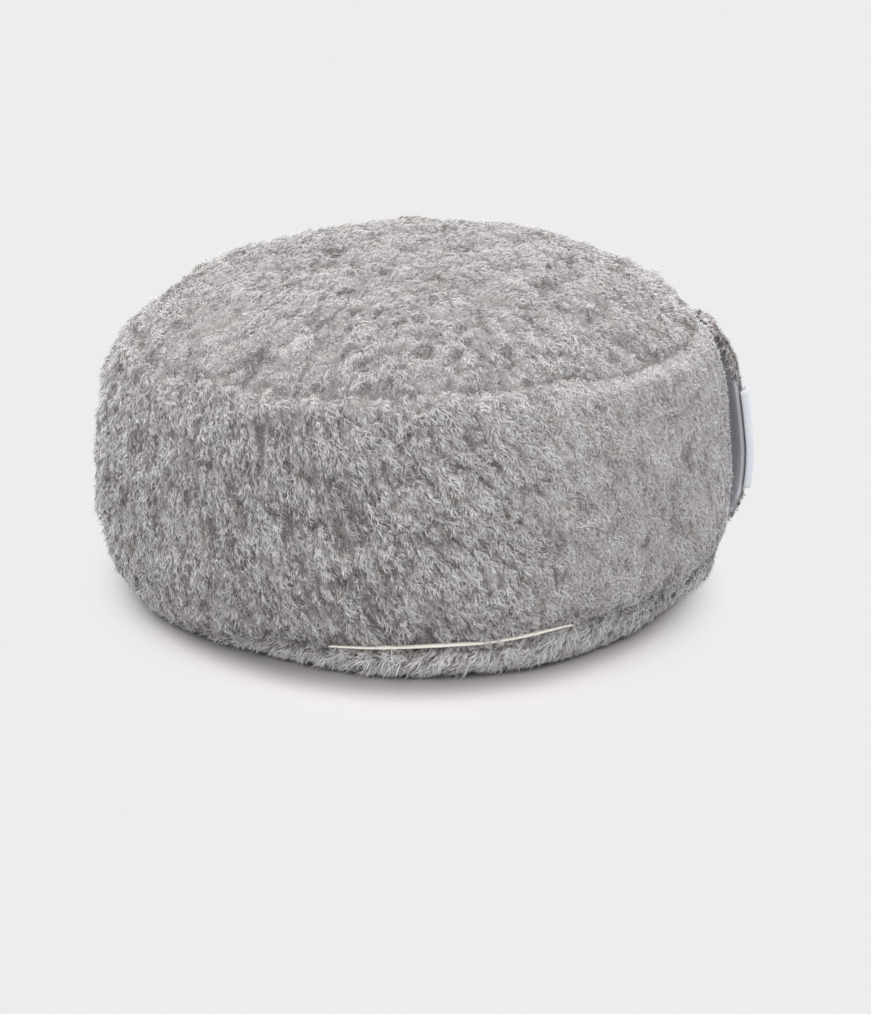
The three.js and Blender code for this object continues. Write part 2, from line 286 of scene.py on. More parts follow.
def move_points(mesh: bpy.types.Mesh, places: np.ndarray) -> None:
    """Puts the mesh's vertices at the given places."""
    mesh.vertices.foreach_set("co", places.ravel())
    mesh.update()


def store(mesh: bpy.types.Mesh, **values: np.ndarray) -> None:
    """Stores one value or vector a vertex under each name."""
    for name, array in values.items():
        kind, key = ("FLOAT_VECTOR", "vector") if array.ndim == 2 else ("FLOAT", "value")
        attribute = mesh.attributes.new(name, kind, "POINT")
        attribute.data.foreach_set(key, np.ascontiguousarray(array, dtype=np.float32).ravel())


@dataclass(frozen=True)
class StudioView:
    """The photograph's viewpoint."""

    target: tuple[float, float, float] = (0.0, 0.0, 0.078)
    azimuth: float = -8.0
    elevation: float = 17.5
    distance: float = 1.315
    aim_turn: float = 0.490
    aim_drop: float = 1.786
    lens: float = 78.0
    sensor: float = 36.0

    def build(self) -> bpy.types.Object:
        """Adds the camera and makes it the scene's."""
        turn, rise = math.radians(self.azimuth), math.radians(self.elevation)
        away = Vector((math.sin(turn) * math.cos(rise), -math.cos(turn) * math.cos(rise), math.sin(rise)))
        heading = math.radians(self.aim_turn - self.azimuth)
        drop = math.radians(self.elevation + self.aim_drop)
        forward = Vector((math.sin(heading) * math.cos(drop), math.cos(heading) * math.cos(drop), -math.sin(drop)))
        data = bpy.data.cameras.new("studio_camera")
        data.sensor_fit = "VERTICAL"
        data.sensor_height = self.sensor
        data.lens = self.lens
        data.clip_end = 100.0
        camera = bpy.data.objects.new("studio_camera", data)
        camera.location = Vector(self.target) + away * self.distance
        camera.rotation_mode = "QUATERNION"
        camera.rotation_quaternion = forward.to_track_quat("-Z", "Y")
        bpy.context.scene.collection.objects.link(camera)
        bpy.context.scene.camera = camera
        return camera


@dataclass(frozen=True)
class PileFinish:
    """Colour of the fleece's strands: painted shade towards the root, light at the tip, mixed from strand to strand."""

    name: str = "fleece_pile"
    tones: tuple[tuple[float, tuple[float, float, float]], ...] = (
        (0.05, (112, 107, 104)), (0.2, (163, 159, 158)), (0.38, (206, 202, 200)),
        (0.55, (215, 213, 214)), (0.75, (223, 220, 218)), (0.94, (230, 230, 231)),
    )
    # brightness along the strand, root to tip: painted shade between the strands near the root
    depths: tuple[tuple[float, float], ...] = ((0.02, 0.55), (0.55, 0.93), (0.95, 0.98))
    roughness: float = 0.85
    gloss: float = 0.25
    sheen: float = 0.3
    sheen_roughness: float = 0.45

    def build(self) -> bpy.types.Material:
        """Makes the material, which reads only the strand's own map: tone across, and root to tip along, where the root
        is darkened as painted shade.
        """
        material = bpy.data.materials.new(self.name)
        material.use_nodes = True
        graph = Graph(material.node_tree)
        shader = material.node_tree.nodes["Principled BSDF"]
        strand = graph.add("ShaderNodeUVMap", uv_map=PILE_MAP)
        parts = graph.add("ShaderNodeSeparateXYZ", {0: strand.outputs[0]})
        tone = graph.ramp(parts.outputs[0], tuple((place, linear(*colour)) for place, colour in self.tones))
        # painted shade towards the root of each strand
        depth = graph.ramp(parts.outputs[1], tuple((place, (level, level, level)) for place, level in self.depths))
        material.node_tree.links.new(graph.tint(tone, depth), shader.inputs["Base Color"])
        shader.inputs["Roughness"].default_value = self.roughness
        shader.inputs["Specular IOR Level"].default_value = self.gloss
        shader.inputs["Sheen Weight"].default_value = self.sheen
        shader.inputs["Sheen Roughness"].default_value = self.sheen_roughness
        return material


def mottle_group() -> bpy.types.NodeTree:
    """Builds the node group of soft light and dark patches with fine fibre grain that all the cloths share."""
    name, patch_share = "cloth_mottle", 0.6
    if name in bpy.data.node_groups:
        return bpy.data.node_groups[name]
    tree = bpy.data.node_groups.new(name, "ShaderNodeTree")
    for label, value in (("Patch Size", 60.0), ("Grain Size", 900.0), ("Contrast", 0.2)):
        socket = tree.interface.new_socket(label, in_out="INPUT", socket_type="NodeSocketFloat")
        socket.default_value = value
    for label in ("Tone", "Grain"):
        tree.interface.new_socket(label, in_out="OUTPUT", socket_type="NodeSocketFloat")
    graph = Graph(tree)
    enter, leave = graph.add("NodeGroupInput").outputs, graph.add("NodeGroupOutput").inputs
    place = graph.add("ShaderNodeTexCoord").outputs["Object"]
    patch, grain = (
        graph.add("ShaderNodeTexNoise", {"Vector": place, "Scale": enter[size], "Detail": detail}).outputs["Fac"]
        for size, detail in (("Patch Size", 3.0), ("Grain Size", 2.0))
    )
    both = graph.math("ADD", graph.math("MULTIPLY", patch, patch_share), graph.math("MULTIPLY", grain, 1 - patch_share))
    centred = graph.math("MULTIPLY", graph.math("SUBTRACT", both, 0.5), enter["Contrast"])
    graph.feed(leave["Tone"], graph.math("ADD", 1.0, graph.math("MULTIPLY", centred, 2.0)))
    graph.feed(leave["Grain"], grain)
    return tree


class Weave(Enum):
    """How the thread of a cloth lies."""

    NAPPED = "napped"
    KNIT = "knit"
    SATIN = "satin"
    TWILL = "twill"


@dataclass(frozen=True)
class ClothFinish:
    """A cloth of one colour with its weave as a relief, painted shade in the weave's valleys and a slight change of
    tone. Pitch and relief are in mm.
    """

    name: str
    colour: tuple[float, float, float]
    weave: Weave
    pitch: float = 0.9
    relief: float = 0.12
    contrast: float = 0.15
    patch_size: float = 60.0
    grains_a_thread: float = 1.2
    # painted shade in the weave's valleys and painted light on the threads
    valley_tone: float = 0.86
    thread_tone: float = 0.22
    grain_share: float = 0.25
    stitch_stretch: float = 0.75
    satin_wander: float = 1.5
    bump: float = 0.8
    roughness: float = 0.85
    gloss: float = 0.3
    sheen: float = 0.2

    def build(self) -> bpy.types.Material:
        """Makes the material on Object coordinates."""
        material = bpy.data.materials.new(self.name)
        material.use_nodes = True
        graph = Graph(material.node_tree)
        shader = material.node_tree.nodes["Principled BSDF"]
        mottle = graph.add("ShaderNodeGroup", node_tree=mottle_group())
        mottle.inputs["Patch Size"].default_value = self.patch_size
        mottle.inputs["Grain Size"].default_value = self.grains_a_thread / (self.pitch * MM)
        mottle.inputs["Contrast"].default_value = self.contrast
        height = self.threads(graph, mottle.outputs["Grain"])
        # painted shade in the valleys between the threads, lighter on the threads
        painted_weave_shade = graph.math("ADD", self.valley_tone, graph.math("MULTIPLY", height, self.thread_tone))
        level = graph.math("MULTIPLY", mottle.outputs["Tone"], painted_weave_shade)
        grey = graph.add("ShaderNodeCombineColor", {0: level, 1: level, 2: level}).outputs[0]
        colour = graph.tint((*linear(*self.colour), 1.0), grey)
        material.node_tree.links.new(colour, shader.inputs["Base Color"])
        relief = {"Height": height, "Distance": self.relief * MM, "Strength": self.bump}
        material.node_tree.links.new(graph.add("ShaderNodeBump", relief).outputs[0], shader.inputs["Normal"])
        shader.inputs["Roughness"].default_value = self.roughness
        shader.inputs["Specular IOR Level"].default_value = self.gloss
        shader.inputs["Sheen Weight"].default_value = self.sheen
        return material

    def threads(self, graph: Graph, grain: bpy.types.NodeSocket) -> bpy.types.NodeSocket:
        """Builds the height of the threads, from 0 to 1.

        Args:
            graph: the material's tree.
            grain: fine noise that breaks the threads up.

        Returns:
            The height.
        """
        if self.weave is Weave.NAPPED:
            return grain
        place = graph.add("ShaderNodeTexCoord").outputs["Object"]
        parts = graph.add("ShaderNodeSeparateXYZ", {0: place})
        turns = 2 * math.pi / (self.pitch * MM)
        across = graph.math("MULTIPLY", parts.outputs[1], turns)
        along = graph.math("MULTIPLY", parts.outputs[2], turns)
        if self.weave is Weave.KNIT:
            rows = graph.math("SINE", graph.math("MULTIPLY", along, self.stitch_stretch))
            wave = graph.math("MULTIPLY", graph.math("SINE", across), rows)
        elif self.weave is Weave.SATIN:
            wave = graph.math("SINE", graph.math("ADD", along, graph.math("MULTIPLY", grain, self.satin_wander)))
        else:
            wave = graph.math("SINE", graph.math("ADD", across, along))
        woven = graph.math("ADD", 0.5, graph.math("MULTIPLY", wave, 0.5))
        threads = graph.math("MULTIPLY", woven, 1 - self.grain_share)
        return graph.math("ADD", threads, graph.math("MULTIPLY", grain, self.grain_share))


@dataclass(frozen=True)
class FloorFinish:
    """The pale plain studio floor with a painted shadow: lavender grey near the cushion and darkest in a painted
    contact ring. The painted shadow is a little narrower than round and lies a little to one side.
    """

    name: str = "studio_floor"
    # the floor's lavender-grey colour inside the painted shadow
    shade: tuple[float, float, float] = (0.66, 0.63, 0.65)
    paper: float = 0.847
    narrow: float = 1.2
    aside: float = 0.012
    forward: float = 0.015
    shadow_from: float = 0.184
    shadow_to: float = 0.232
    # how dark the painted contact shadow is, and where it fades out
    contact: float = 0.5
    contact_from: float = 0.168
    contact_to: float = 0.2

    def build(self) -> bpy.types.Material:
        """Makes the matt material, which glows evenly beyond the painted shadow; inside it, the floor is darker and
        takes the cast shadow too.
        """
        material = bpy.data.materials.new(self.name)
        material.use_nodes = True
        graph = Graph(material.node_tree)
        shader = material.node_tree.nodes["Principled BSDF"]
        place = graph.add("ShaderNodeTexCoord").outputs["Object"]
        spot = graph.vector("MULTIPLY_ADD", place, (self.narrow, 1.0, 0.0), (self.aside, self.forward, 0.0))
        reach = graph.measure("LENGTH", spot)
        # painted contact shadow: the floor's colour darkens close to the cushion
        contact = graph.mapped(reach, self.contact_from, self.contact_to, self.contact, 1.0)
        painted_contact_colour = graph.scaled(graph.joined(*self.shade), contact)
        # painted shadow edge: the darker floor fades into the even glow
        away = graph.mapped(reach, self.shadow_from, self.shadow_to)
        glow = graph.tint(BLACK, (self.paper, self.paper, self.paper, 1.0), "MIX", away)
        graph.feed(shader.inputs["Base Color"], graph.tint(painted_contact_colour, BLACK, "MIX", away))
        graph.feed(shader.inputs["Emission Color"], glow)
        shader.inputs["Emission Strength"].default_value = 1.0
        shader.inputs["Roughness"].default_value = 1.0
        shader.inputs["Specular IOR Level"].default_value = 0.0
        return material


@dataclass(frozen=True)
class Nap:
    """How the strands of one stretch of pile stand. Lengths are in metres and angles in degrees."""

    density: float = 140e4
    length: float = 0.0046
    width: float = 0.00048
    lean: float = 60.0
    lean_spread: float = 12.0
    twist: float = 30.0
    lock_size: float = 0.007
    lock_turn: float = 0.9
    lock_pull: float = 0.3
    scatter: float = 0.38
    stray: float = 0.004
    tone: float = 0.5
    tone_spread: float = 0.42
    softness: float = 0.75
    streak: float = 0.56
    seed: int = 3


NAPS: dict[Panel, Nap] = {
    Panel.CROWN: Nap(
        seed=5, density=110e4, length=0.0037, width=0.00049, lock_size=0.008, lock_turn=0.7, lock_pull=0.35,
        scatter=0.4, tone_spread=0.2, softness=0.9,
    ),
    Panel.BAND: Nap(seed=9, lock_turn=0.75, tone_spread=0.5),
    Panel.BASE: Nap(
        seed=17, density=170e4, length=0.0085, width=0.00062, lean=58, lock_size=0.009, lock_turn=0.8,
        lock_pull=0.8, scatter=0.4, tone=0.66,
    ),
}
STRAP_NAP = Nap(
    seed=29, density=230e4, length=0.005, width=0.0008, lean=52, lock_size=0.006, lock_turn=1.3, lock_pull=1.1,
    tone=0.36,
)


class Draw(Enum):
    """The random draws of a strand, each with its own step from the seed."""

    WAY = 11
    LEAN = 23
    ROLL = 31
    LENGTH = 41
    WIDTH = 43
    TONE = 53
    LOOSE = 61


class PileTree:
    """The Geometry Nodes tree that grows curved strands out of a skin."""

    SKIN_VALUES: tuple[str, ...] = ("comb", "pile", "shade", "thick", "mix", "track", "fray")
    STRANDS: tuple[tuple[float, float, float], ...] = (
        (0.5, 0.45, 2.2), (0.9, 0.5, -2.4), (1.3, 0.5, 1.2), (1.7, 0.55, -1.3), (1.1, 0.48, 3.2), (1.0, 0.5, -3.0),
    )
    LENGTHS: tuple[float, float] = (0.7, 1.2)
    WIDTHS: tuple[float, float] = (0.55, 1.25)
    LOOSE_RISE: float = 0.55
    LOOSE_GROWTH: float = 0.35
    LOOSE_THINNING: float = 0.5
    STREAK_EDGE: tuple[float, float] = (0.36, 0.47)
    STREAK_WAVE: float = 0.4
    STREAK_SHORTENING: float = 0.6
    STRAND_MIX: float = 0.75
    LOCK_MIX: float = 0.45
    TONE_LIMITS: tuple[float, float] = (0.03, 0.97)
    FLOOR_GAP: float = 0.0004

    def __init__(self) -> None:
        """Builds the strands and the tree."""
        self.strands = [self.strand(f"strand_{number}", *shape) for number, shape in enumerate(self.STRANDS)]
        self.tree = bpy.data.node_groups.new("fleece_pile_tree", "GeometryNodeTree")
        self.keys = self.sockets()
        self.graph = Graph(self.tree)
        self.enter = self.graph.add("NodeGroupInput").outputs
        self.build()

    @staticmethod
    def strand(name: str, bend: float, waist: float, curl: float) -> bpy.types.Object:
        """Makes one flat tapered strand of unit length and width that grows along +Z and bends towards +X.

        Args:
            name: the strand's name.
            bend: how far it turns from root to tip, in radians.
            waist: where along its length it is widest.
            curl: how many widths its tip turns aside.

        Returns:
            The object, which isn't in the scene.
        """
        half = bend / 2
        middle = (math.sin(half / 2) * waist, math.cos(half / 2) * waist)
        tip = (middle[0] + math.sin(1.5 * half) * (1 - waist), middle[1] + math.cos(1.5 * half) * (1 - waist))
        points = [(0, 0, 0), (middle[0], -0.5, middle[1]), (middle[0], 0.5, middle[1]), (tip[0], curl, tip[1])]
        mesh = bpy.data.meshes.new(name)
        mesh.from_pydata(points, [], [(0, 1, 2), (1, 3, 2)])
        places = ((0.0, 0.02), (-0.012, waist), (0.012, waist), (0.0, 0.98))
        layer = mesh.uv_layers.new(name=PILE_MAP)
        for loop in mesh.loops:
            layer.data[loop.index].uv = places[loop.vertex_index]
        return bpy.data.objects.new(name, mesh)

    def sockets(self) -> dict[str, str]:
        """Adds the tree's sockets, one input for each value of the nap, and returns the inputs' identifiers."""
        face = self.tree.interface
        face.new_socket("Geometry", in_out="INPUT", socket_type="NodeSocketGeometry")
        kinds = {value.name: "NodeSocketFloat" for value in fields(Nap)}
        kinds |= {"seed": "NodeSocketInt", "material": "NodeSocketMaterial"}
        keys = {
            name: face.new_socket(name.replace("_", " ").title(), in_out="INPUT", socket_type=kind).identifier
            for name, kind in kinds.items()
        }
        face.new_socket("Geometry", in_out="OUTPUT", socket_type="NodeSocketGeometry")
        return keys

    def named(self, name: str, kind: str = "FLOAT") -> bpy.types.NodeSocket:
        """Reads an attribute."""
        return self.graph.add("GeometryNodeInputNamedAttribute", {"Name": name}, data_type=kind).outputs[0]

    def kept(
        self, geometry: bpy.types.NodeSocket, name: str, value: bpy.types.NodeSocket, kind: str, domain: str
    ) -> bpy.types.NodeSocket:
        """Stores an attribute.

        Args:
            geometry: what it is stored on.
            name: the attribute's name.
            value: its value.
            kind: its data type.
            domain: its domain.

        Returns:
            The geometry with the attribute.
        """
        inputs = {"Geometry": geometry, "Name": name, "Value": value}
        return self.graph.add("GeometryNodeStoreNamedAttribute", inputs, data_type=kind, domain=domain).outputs[0]

    def chance(self, low: float, high: float, draw: Draw) -> bpy.types.NodeSocket:
        """Draws an even random number between two limits for each strand."""
        inputs = {2: low, 3: high, "Seed": self.graph.math("ADD", self.enter["Seed"], draw.value)}
        return self.graph.add("FunctionNodeRandomValue", inputs, data_type="FLOAT").outputs[1]

    def build(self) -> None:
        """Writes the tree: points on the skin, a direction for each, strands on them, then one mesh."""
        g, enter = self.graph, self.enter
        density = g.math("MULTIPLY", enter["Density"], self.named("thick"))
        inputs = {"Mesh": enter["Geometry"], "Density": density, "Seed": enter["Seed"]}
        spread = g.add("GeometryNodeDistributePointsOnFaces", inputs).outputs
        points = self.kept(spread["Points"], "out", spread["Normal"], "FLOAT_VECTOR", "POINT")
        place = g.add("GeometryNodeInputPosition").outputs[0]
        scale = g.math("DIVIDE", 1.0, enter["Lock Size"])
        locks = g.add("ShaderNodeTexVoronoi", {"Vector": place, "Scale": scale, "Randomness": 1.0}).outputs
        loose = g.math("LESS_THAN", self.chance(0.0, 1.0, Draw.LOOSE), enter["Stray"])
        streak = self.streak()
        kinds = g.add("GeometryNodeJoinGeometry")
        for strand in self.strands:
            source = g.add("GeometryNodeObjectInfo", {"Object": strand, "As Instance": True})
            self.tree.links.new(source.outputs["Geometry"], kinds.inputs[0])
        turned = self.stance(self.way(place, locks), loose)
        grown = g.add("GeometryNodeInstanceOnPoints", {
            "Points": points, "Instance": kinds.outputs[0], "Pick Instance": True, "Rotation": turned,
            "Scale": self.size(loose, streak),
        }).outputs[0]
        toned = self.kept(grown, "tone", self.tone(locks, streak), "FLOAT", "INSTANCE")
        bare = self.lifted(self.softened(self.charted(toned)))
        for name in ("tone", "out", *self.SKIN_VALUES):
            bare = g.add("GeometryNodeRemoveAttribute", {"Geometry": bare, "Name": name}).outputs[0]
        dressed = g.add("GeometryNodeSetMaterial", {"Geometry": bare, "Material": enter["Material"]})
        self.tree.links.new(dressed.outputs[0], g.add("NodeGroupOutput").inputs[0])

    def way(self, place: bpy.types.NodeSocket, locks: bpy.types.NodeOutputs) -> bpy.types.NodeSocket:
        """Finds which way along the skin each strand lies.

        Args:
            place: where the strand stands.
            locks: the cells that gather the strands into locks.

        Returns:
            A direction in the skin's plane, of length 1.
        """
        g, enter = self.graph, self.enter
        lock = g.scaled(g.vector("SUBTRACT", locks["Color"], (0.5, 0.5, 0.5)), enter["Lock Turn"])
        gather = g.math("DIVIDE", enter["Lock Pull"], enter["Lock Size"])
        pull = g.scaled(g.vector("SUBTRACT", locks["Position"], place), gather)
        seed = g.math("ADD", enter["Seed"], Draw.WAY.value)
        inputs = {0: (-1, -1, -1), 1: (1, 1, 1), "Seed": seed}
        stray = g.add("FunctionNodeRandomValue", inputs, data_type="FLOAT_VECTOR").outputs[0]
        combed = g.vector("ADD", self.named("comb", "FLOAT_VECTOR"), lock)
        way = g.vector("ADD", combed, g.vector("ADD", pull, g.scaled(stray, enter["Scatter"])))
        out = self.named("out", "FLOAT_VECTOR")
        return g.vector("NORMALIZE", g.vector("SUBTRACT", way, g.scaled(out, g.measure("DOT_PRODUCT", way, out))))

    def stance(self, flat: bpy.types.NodeSocket, loose: bpy.types.NodeSocket) -> bpy.types.NodeSocket:
        """Turns each strand from upright towards its way.

        Args:
            flat: the way it lies along the skin.
            loose: 1 for the few strands that stand out.

        Returns:
            The strand's rotation.
        """
        g, enter = self.graph, self.enter
        swing = g.math("MULTIPLY", self.chance(-1.0, 1.0, Draw.LEAN), enter["Lean Spread"])
        laid = g.math("SUBTRACT", 1.0, g.math("MULTIPLY", loose, self.LOOSE_RISE))
        lean = g.math("RADIANS", g.math("MULTIPLY", laid, g.math("ADD", enter["Lean"], swing)))
        out = self.named("out", "FLOAT_VECTOR")
        up = g.vector("ADD", g.scaled(out, g.math("COSINE", lean)), g.scaled(flat, g.math("SINE", lean)))
        axes = {"primary_axis": "Z", "secondary_axis": "X"}
        turn = g.add("FunctionNodeAxesToRotation", {0: up, 1: flat}, **axes).outputs[0]
        roll = g.math("RADIANS", g.math("MULTIPLY", self.chance(-1.0, 1.0, Draw.ROLL), enter["Twist"]))
        spin = g.add("FunctionNodeAxisAngleToRotation", {0: (0, 0, 1), 1: roll}).outputs[0]
        return g.add("FunctionNodeRotateRotation", {0: turn, 1: spin}, rotation_space="LOCAL").outputs[0]

    def streak(self) -> bpy.types.NodeSocket:
        """Returns how far each strand is in one of the streaks that run with the nap, where the strands are shorter and
        darkened as painted shade.
        """
        g = self.graph
        track = self.named("track", "FLOAT_VECTOR")
        inputs = {"Vector": track, "Scale": 1.0, "Detail": 1.0, "Distortion": self.STREAK_WAVE}
        trail = g.add("ShaderNodeTexNoise", inputs).outputs["Fac"]
        streak = g.math("MULTIPLY", g.mapped(trail, *self.STREAK_EDGE, 1.0, 0.0), self.enter["Streak"])
        return g.math("MULTIPLY", streak, self.named("fray"))

    def size(self, loose: bpy.types.NodeSocket, streak: bpy.types.NodeSocket) -> bpy.types.NodeSocket:
        """Sizes each strand.

        Args:
            loose: 1 for the few strands that stand out.
            streak: how far the strand is in a streak.

        Returns:
            Its scale: length, width, length.
        """
        g, enter = self.graph, self.enter
        long = g.math("MULTIPLY", enter["Length"], self.named("pile"))
        long = g.math("MULTIPLY", long, self.chance(*self.LENGTHS, Draw.LENGTH))
        grown = g.math("ADD", 1.0, g.math("MULTIPLY", loose, self.LOOSE_GROWTH))
        shorter = g.math("SUBTRACT", grown, g.math("MULTIPLY", streak, self.STREAK_SHORTENING))
        long = g.math("MULTIPLY", long, shorter)
        wide = g.math("MULTIPLY", enter["Width"], self.chance(*self.WIDTHS, Draw.WIDTH))
        wide = g.math("MULTIPLY", wide, g.math("SUBTRACT", 1.0, g.math("MULTIPLY", loose, self.LOOSE_THINNING)))
        return g.joined(long, wide, long)

    def tone(self, locks: bpy.types.NodeOutputs, streak: bpy.types.NodeSocket) -> bpy.types.NodeSocket:
        """Picks each strand's tone, with the skin's painted shade and light and the painted shade of the streaks.

        Args:
            locks: the cells that gather the strands into locks.
            streak: how far the strand is in a streak.

        Returns:
            The tone, inside the limits of the finish's ramp.
        """
        g, enter = self.graph, self.enter
        single = g.math("MULTIPLY", self.chance(-0.5, 0.5, Draw.TONE), self.STRAND_MIX)
        lock = g.add("FunctionNodeSeparateColor", {0: locks["Color"]}).outputs[2]
        shared = g.math("MULTIPLY", g.math("SUBTRACT", lock, 0.5), self.LOCK_MIX)
        spread = g.math("MULTIPLY", enter["Tone Spread"], self.named("mix"))
        mixed = g.math("MULTIPLY", g.math("ADD", single, shared), spread)
        laid = g.math("ADD", enter["Tone"], self.named("shade"))
        # the streaks take painted shade off the tone
        tone = g.math("SUBTRACT", g.math("ADD", laid, mixed), streak)
        darkest, lightest = self.TONE_LIMITS
        return g.math("MINIMUM", lightest, g.math("MAXIMUM", darkest, tone))

    def charted(self, strands: bpy.types.NodeSocket) -> bpy.types.NodeSocket:
        """Makes one mesh of the strands and moves each one's map across by its tone."""
        g = self.graph
        whole = g.add("GeometryNodeRealizeInstances", {"Geometry": strands}).outputs[0]
        moved = g.vector("ADD", self.named(PILE_MAP, "FLOAT_VECTOR"), g.joined(self.named("tone")))
        return self.kept(whole, PILE_MAP, moved, "FLOAT2", "CORNER")

    def softened(self, strands: bpy.types.NodeSocket) -> bpy.types.NodeSocket:
        """Turns the strands' normals towards the skin's, as light runs through fine pile."""
        g = self.graph
        own = g.add("GeometryNodeInputNormal").outputs[0]
        inputs = {0: self.enter["Softness"], 4: own, 5: self.named("out", "FLOAT_VECTOR")}
        leaned = g.add("ShaderNodeMix", inputs, data_type="VECTOR").outputs[1]
        soft = g.add("GeometryNodeSetMeshNormal", mode="FREE", domain="CORNER")
        self.tree.links.new(strands, soft.inputs["Mesh"])
        self.tree.links.new(g.vector("NORMALIZE", leaned), soft.inputs["Custom Normal"])
        return soft.outputs[0]

    def lifted(self, strands: bpy.types.NodeSocket) -> bpy.types.NodeSocket:
        """Keeps the strands' points just above the floor."""
        g = self.graph
        spot = g.add("ShaderNodeSeparateXYZ", {0: g.add("GeometryNodeInputPosition").outputs[0]}).outputs
        above = g.joined(spot[0], spot[1], g.math("MAXIMUM", spot[2], self.FLOOR_GAP))
        return g.add("GeometryNodeSetPosition", {"Geometry": strands, "Position": above}).outputs[0]

    def grow(self, skin: bpy.types.Object, nap: Nap, material: bpy.types.Material) -> None:
        """Turns a skin with its nap attributes into the strands that grow on it.

        Args:
            skin: the stretch of skin, which becomes the pile.
            nap: how the strands stand.
            material: the strands' finish.
        """
        modifier = skin.modifiers.new("pile", "NODES")
        modifier.node_group = self.tree
        for value in fields(Nap):
            modifier[self.keys[value.name]] = getattr(nap, value.name)
        modifier[self.keys["material"]] = material
        settle(skin)


def stretch_of(skin: bpy.types.Mesh, name: str, keep: np.ndarray) -> bpy.types.Object:
    """Copies the kept faces of a skin, with their attributes, into a piece of their own."""
    mesh = skin.copy()
    work = bmesh.new()
    work.from_mesh(mesh)
    work.faces.ensure_lookup_table()
    bmesh.ops.delete(work, geom=[face for face in work.faces if not keep[face.index]], context="FACES")
    work.to_mesh(mesh)
    work.free()
    return linked(name, mesh)


@dataclass(frozen=True)
class Stretch:
    """A stretch of a panel that is one piece of pile, between two azimuths in degrees."""

    name: str
    panel: Panel
    low: float = -190.0
    high: float = 190.0


@dataclass(frozen=True)
class PileShade:
    """How much lighter or darker the pile is for what it lies on: painted shade in the crease, tuck, clefts and dents,
    painted light on the lip, ridges and lumps, its own tone in the patches, and a set lift for all, a little less on
    the crown and the felted stretch.
    """

    ground: float = 0.21
    lip: float = 0.03
    crease: float = 0.4
    tuck: float = 0.35
    cleft: float = 0.62
    ridge: float = 0.1
    patch: float = 0.08
    felt_patch: float = 0.3
    rise: float = 0.06
    dent: float = 0.14
    crown: float = 0.03
    felt: float = 0.05


@dataclass(frozen=True)
class PileTrim:
    """How much shorter the pile is for what it lies on, and longer on the ridges, as shares of its length."""

    crease: float = 0.25
    tuck: float = 0.3
    rest: float = 0.75
    cleft: float = 0.6
    ridge: float = 0.15
    felt: float = 0.3
    lip: float = 0.25


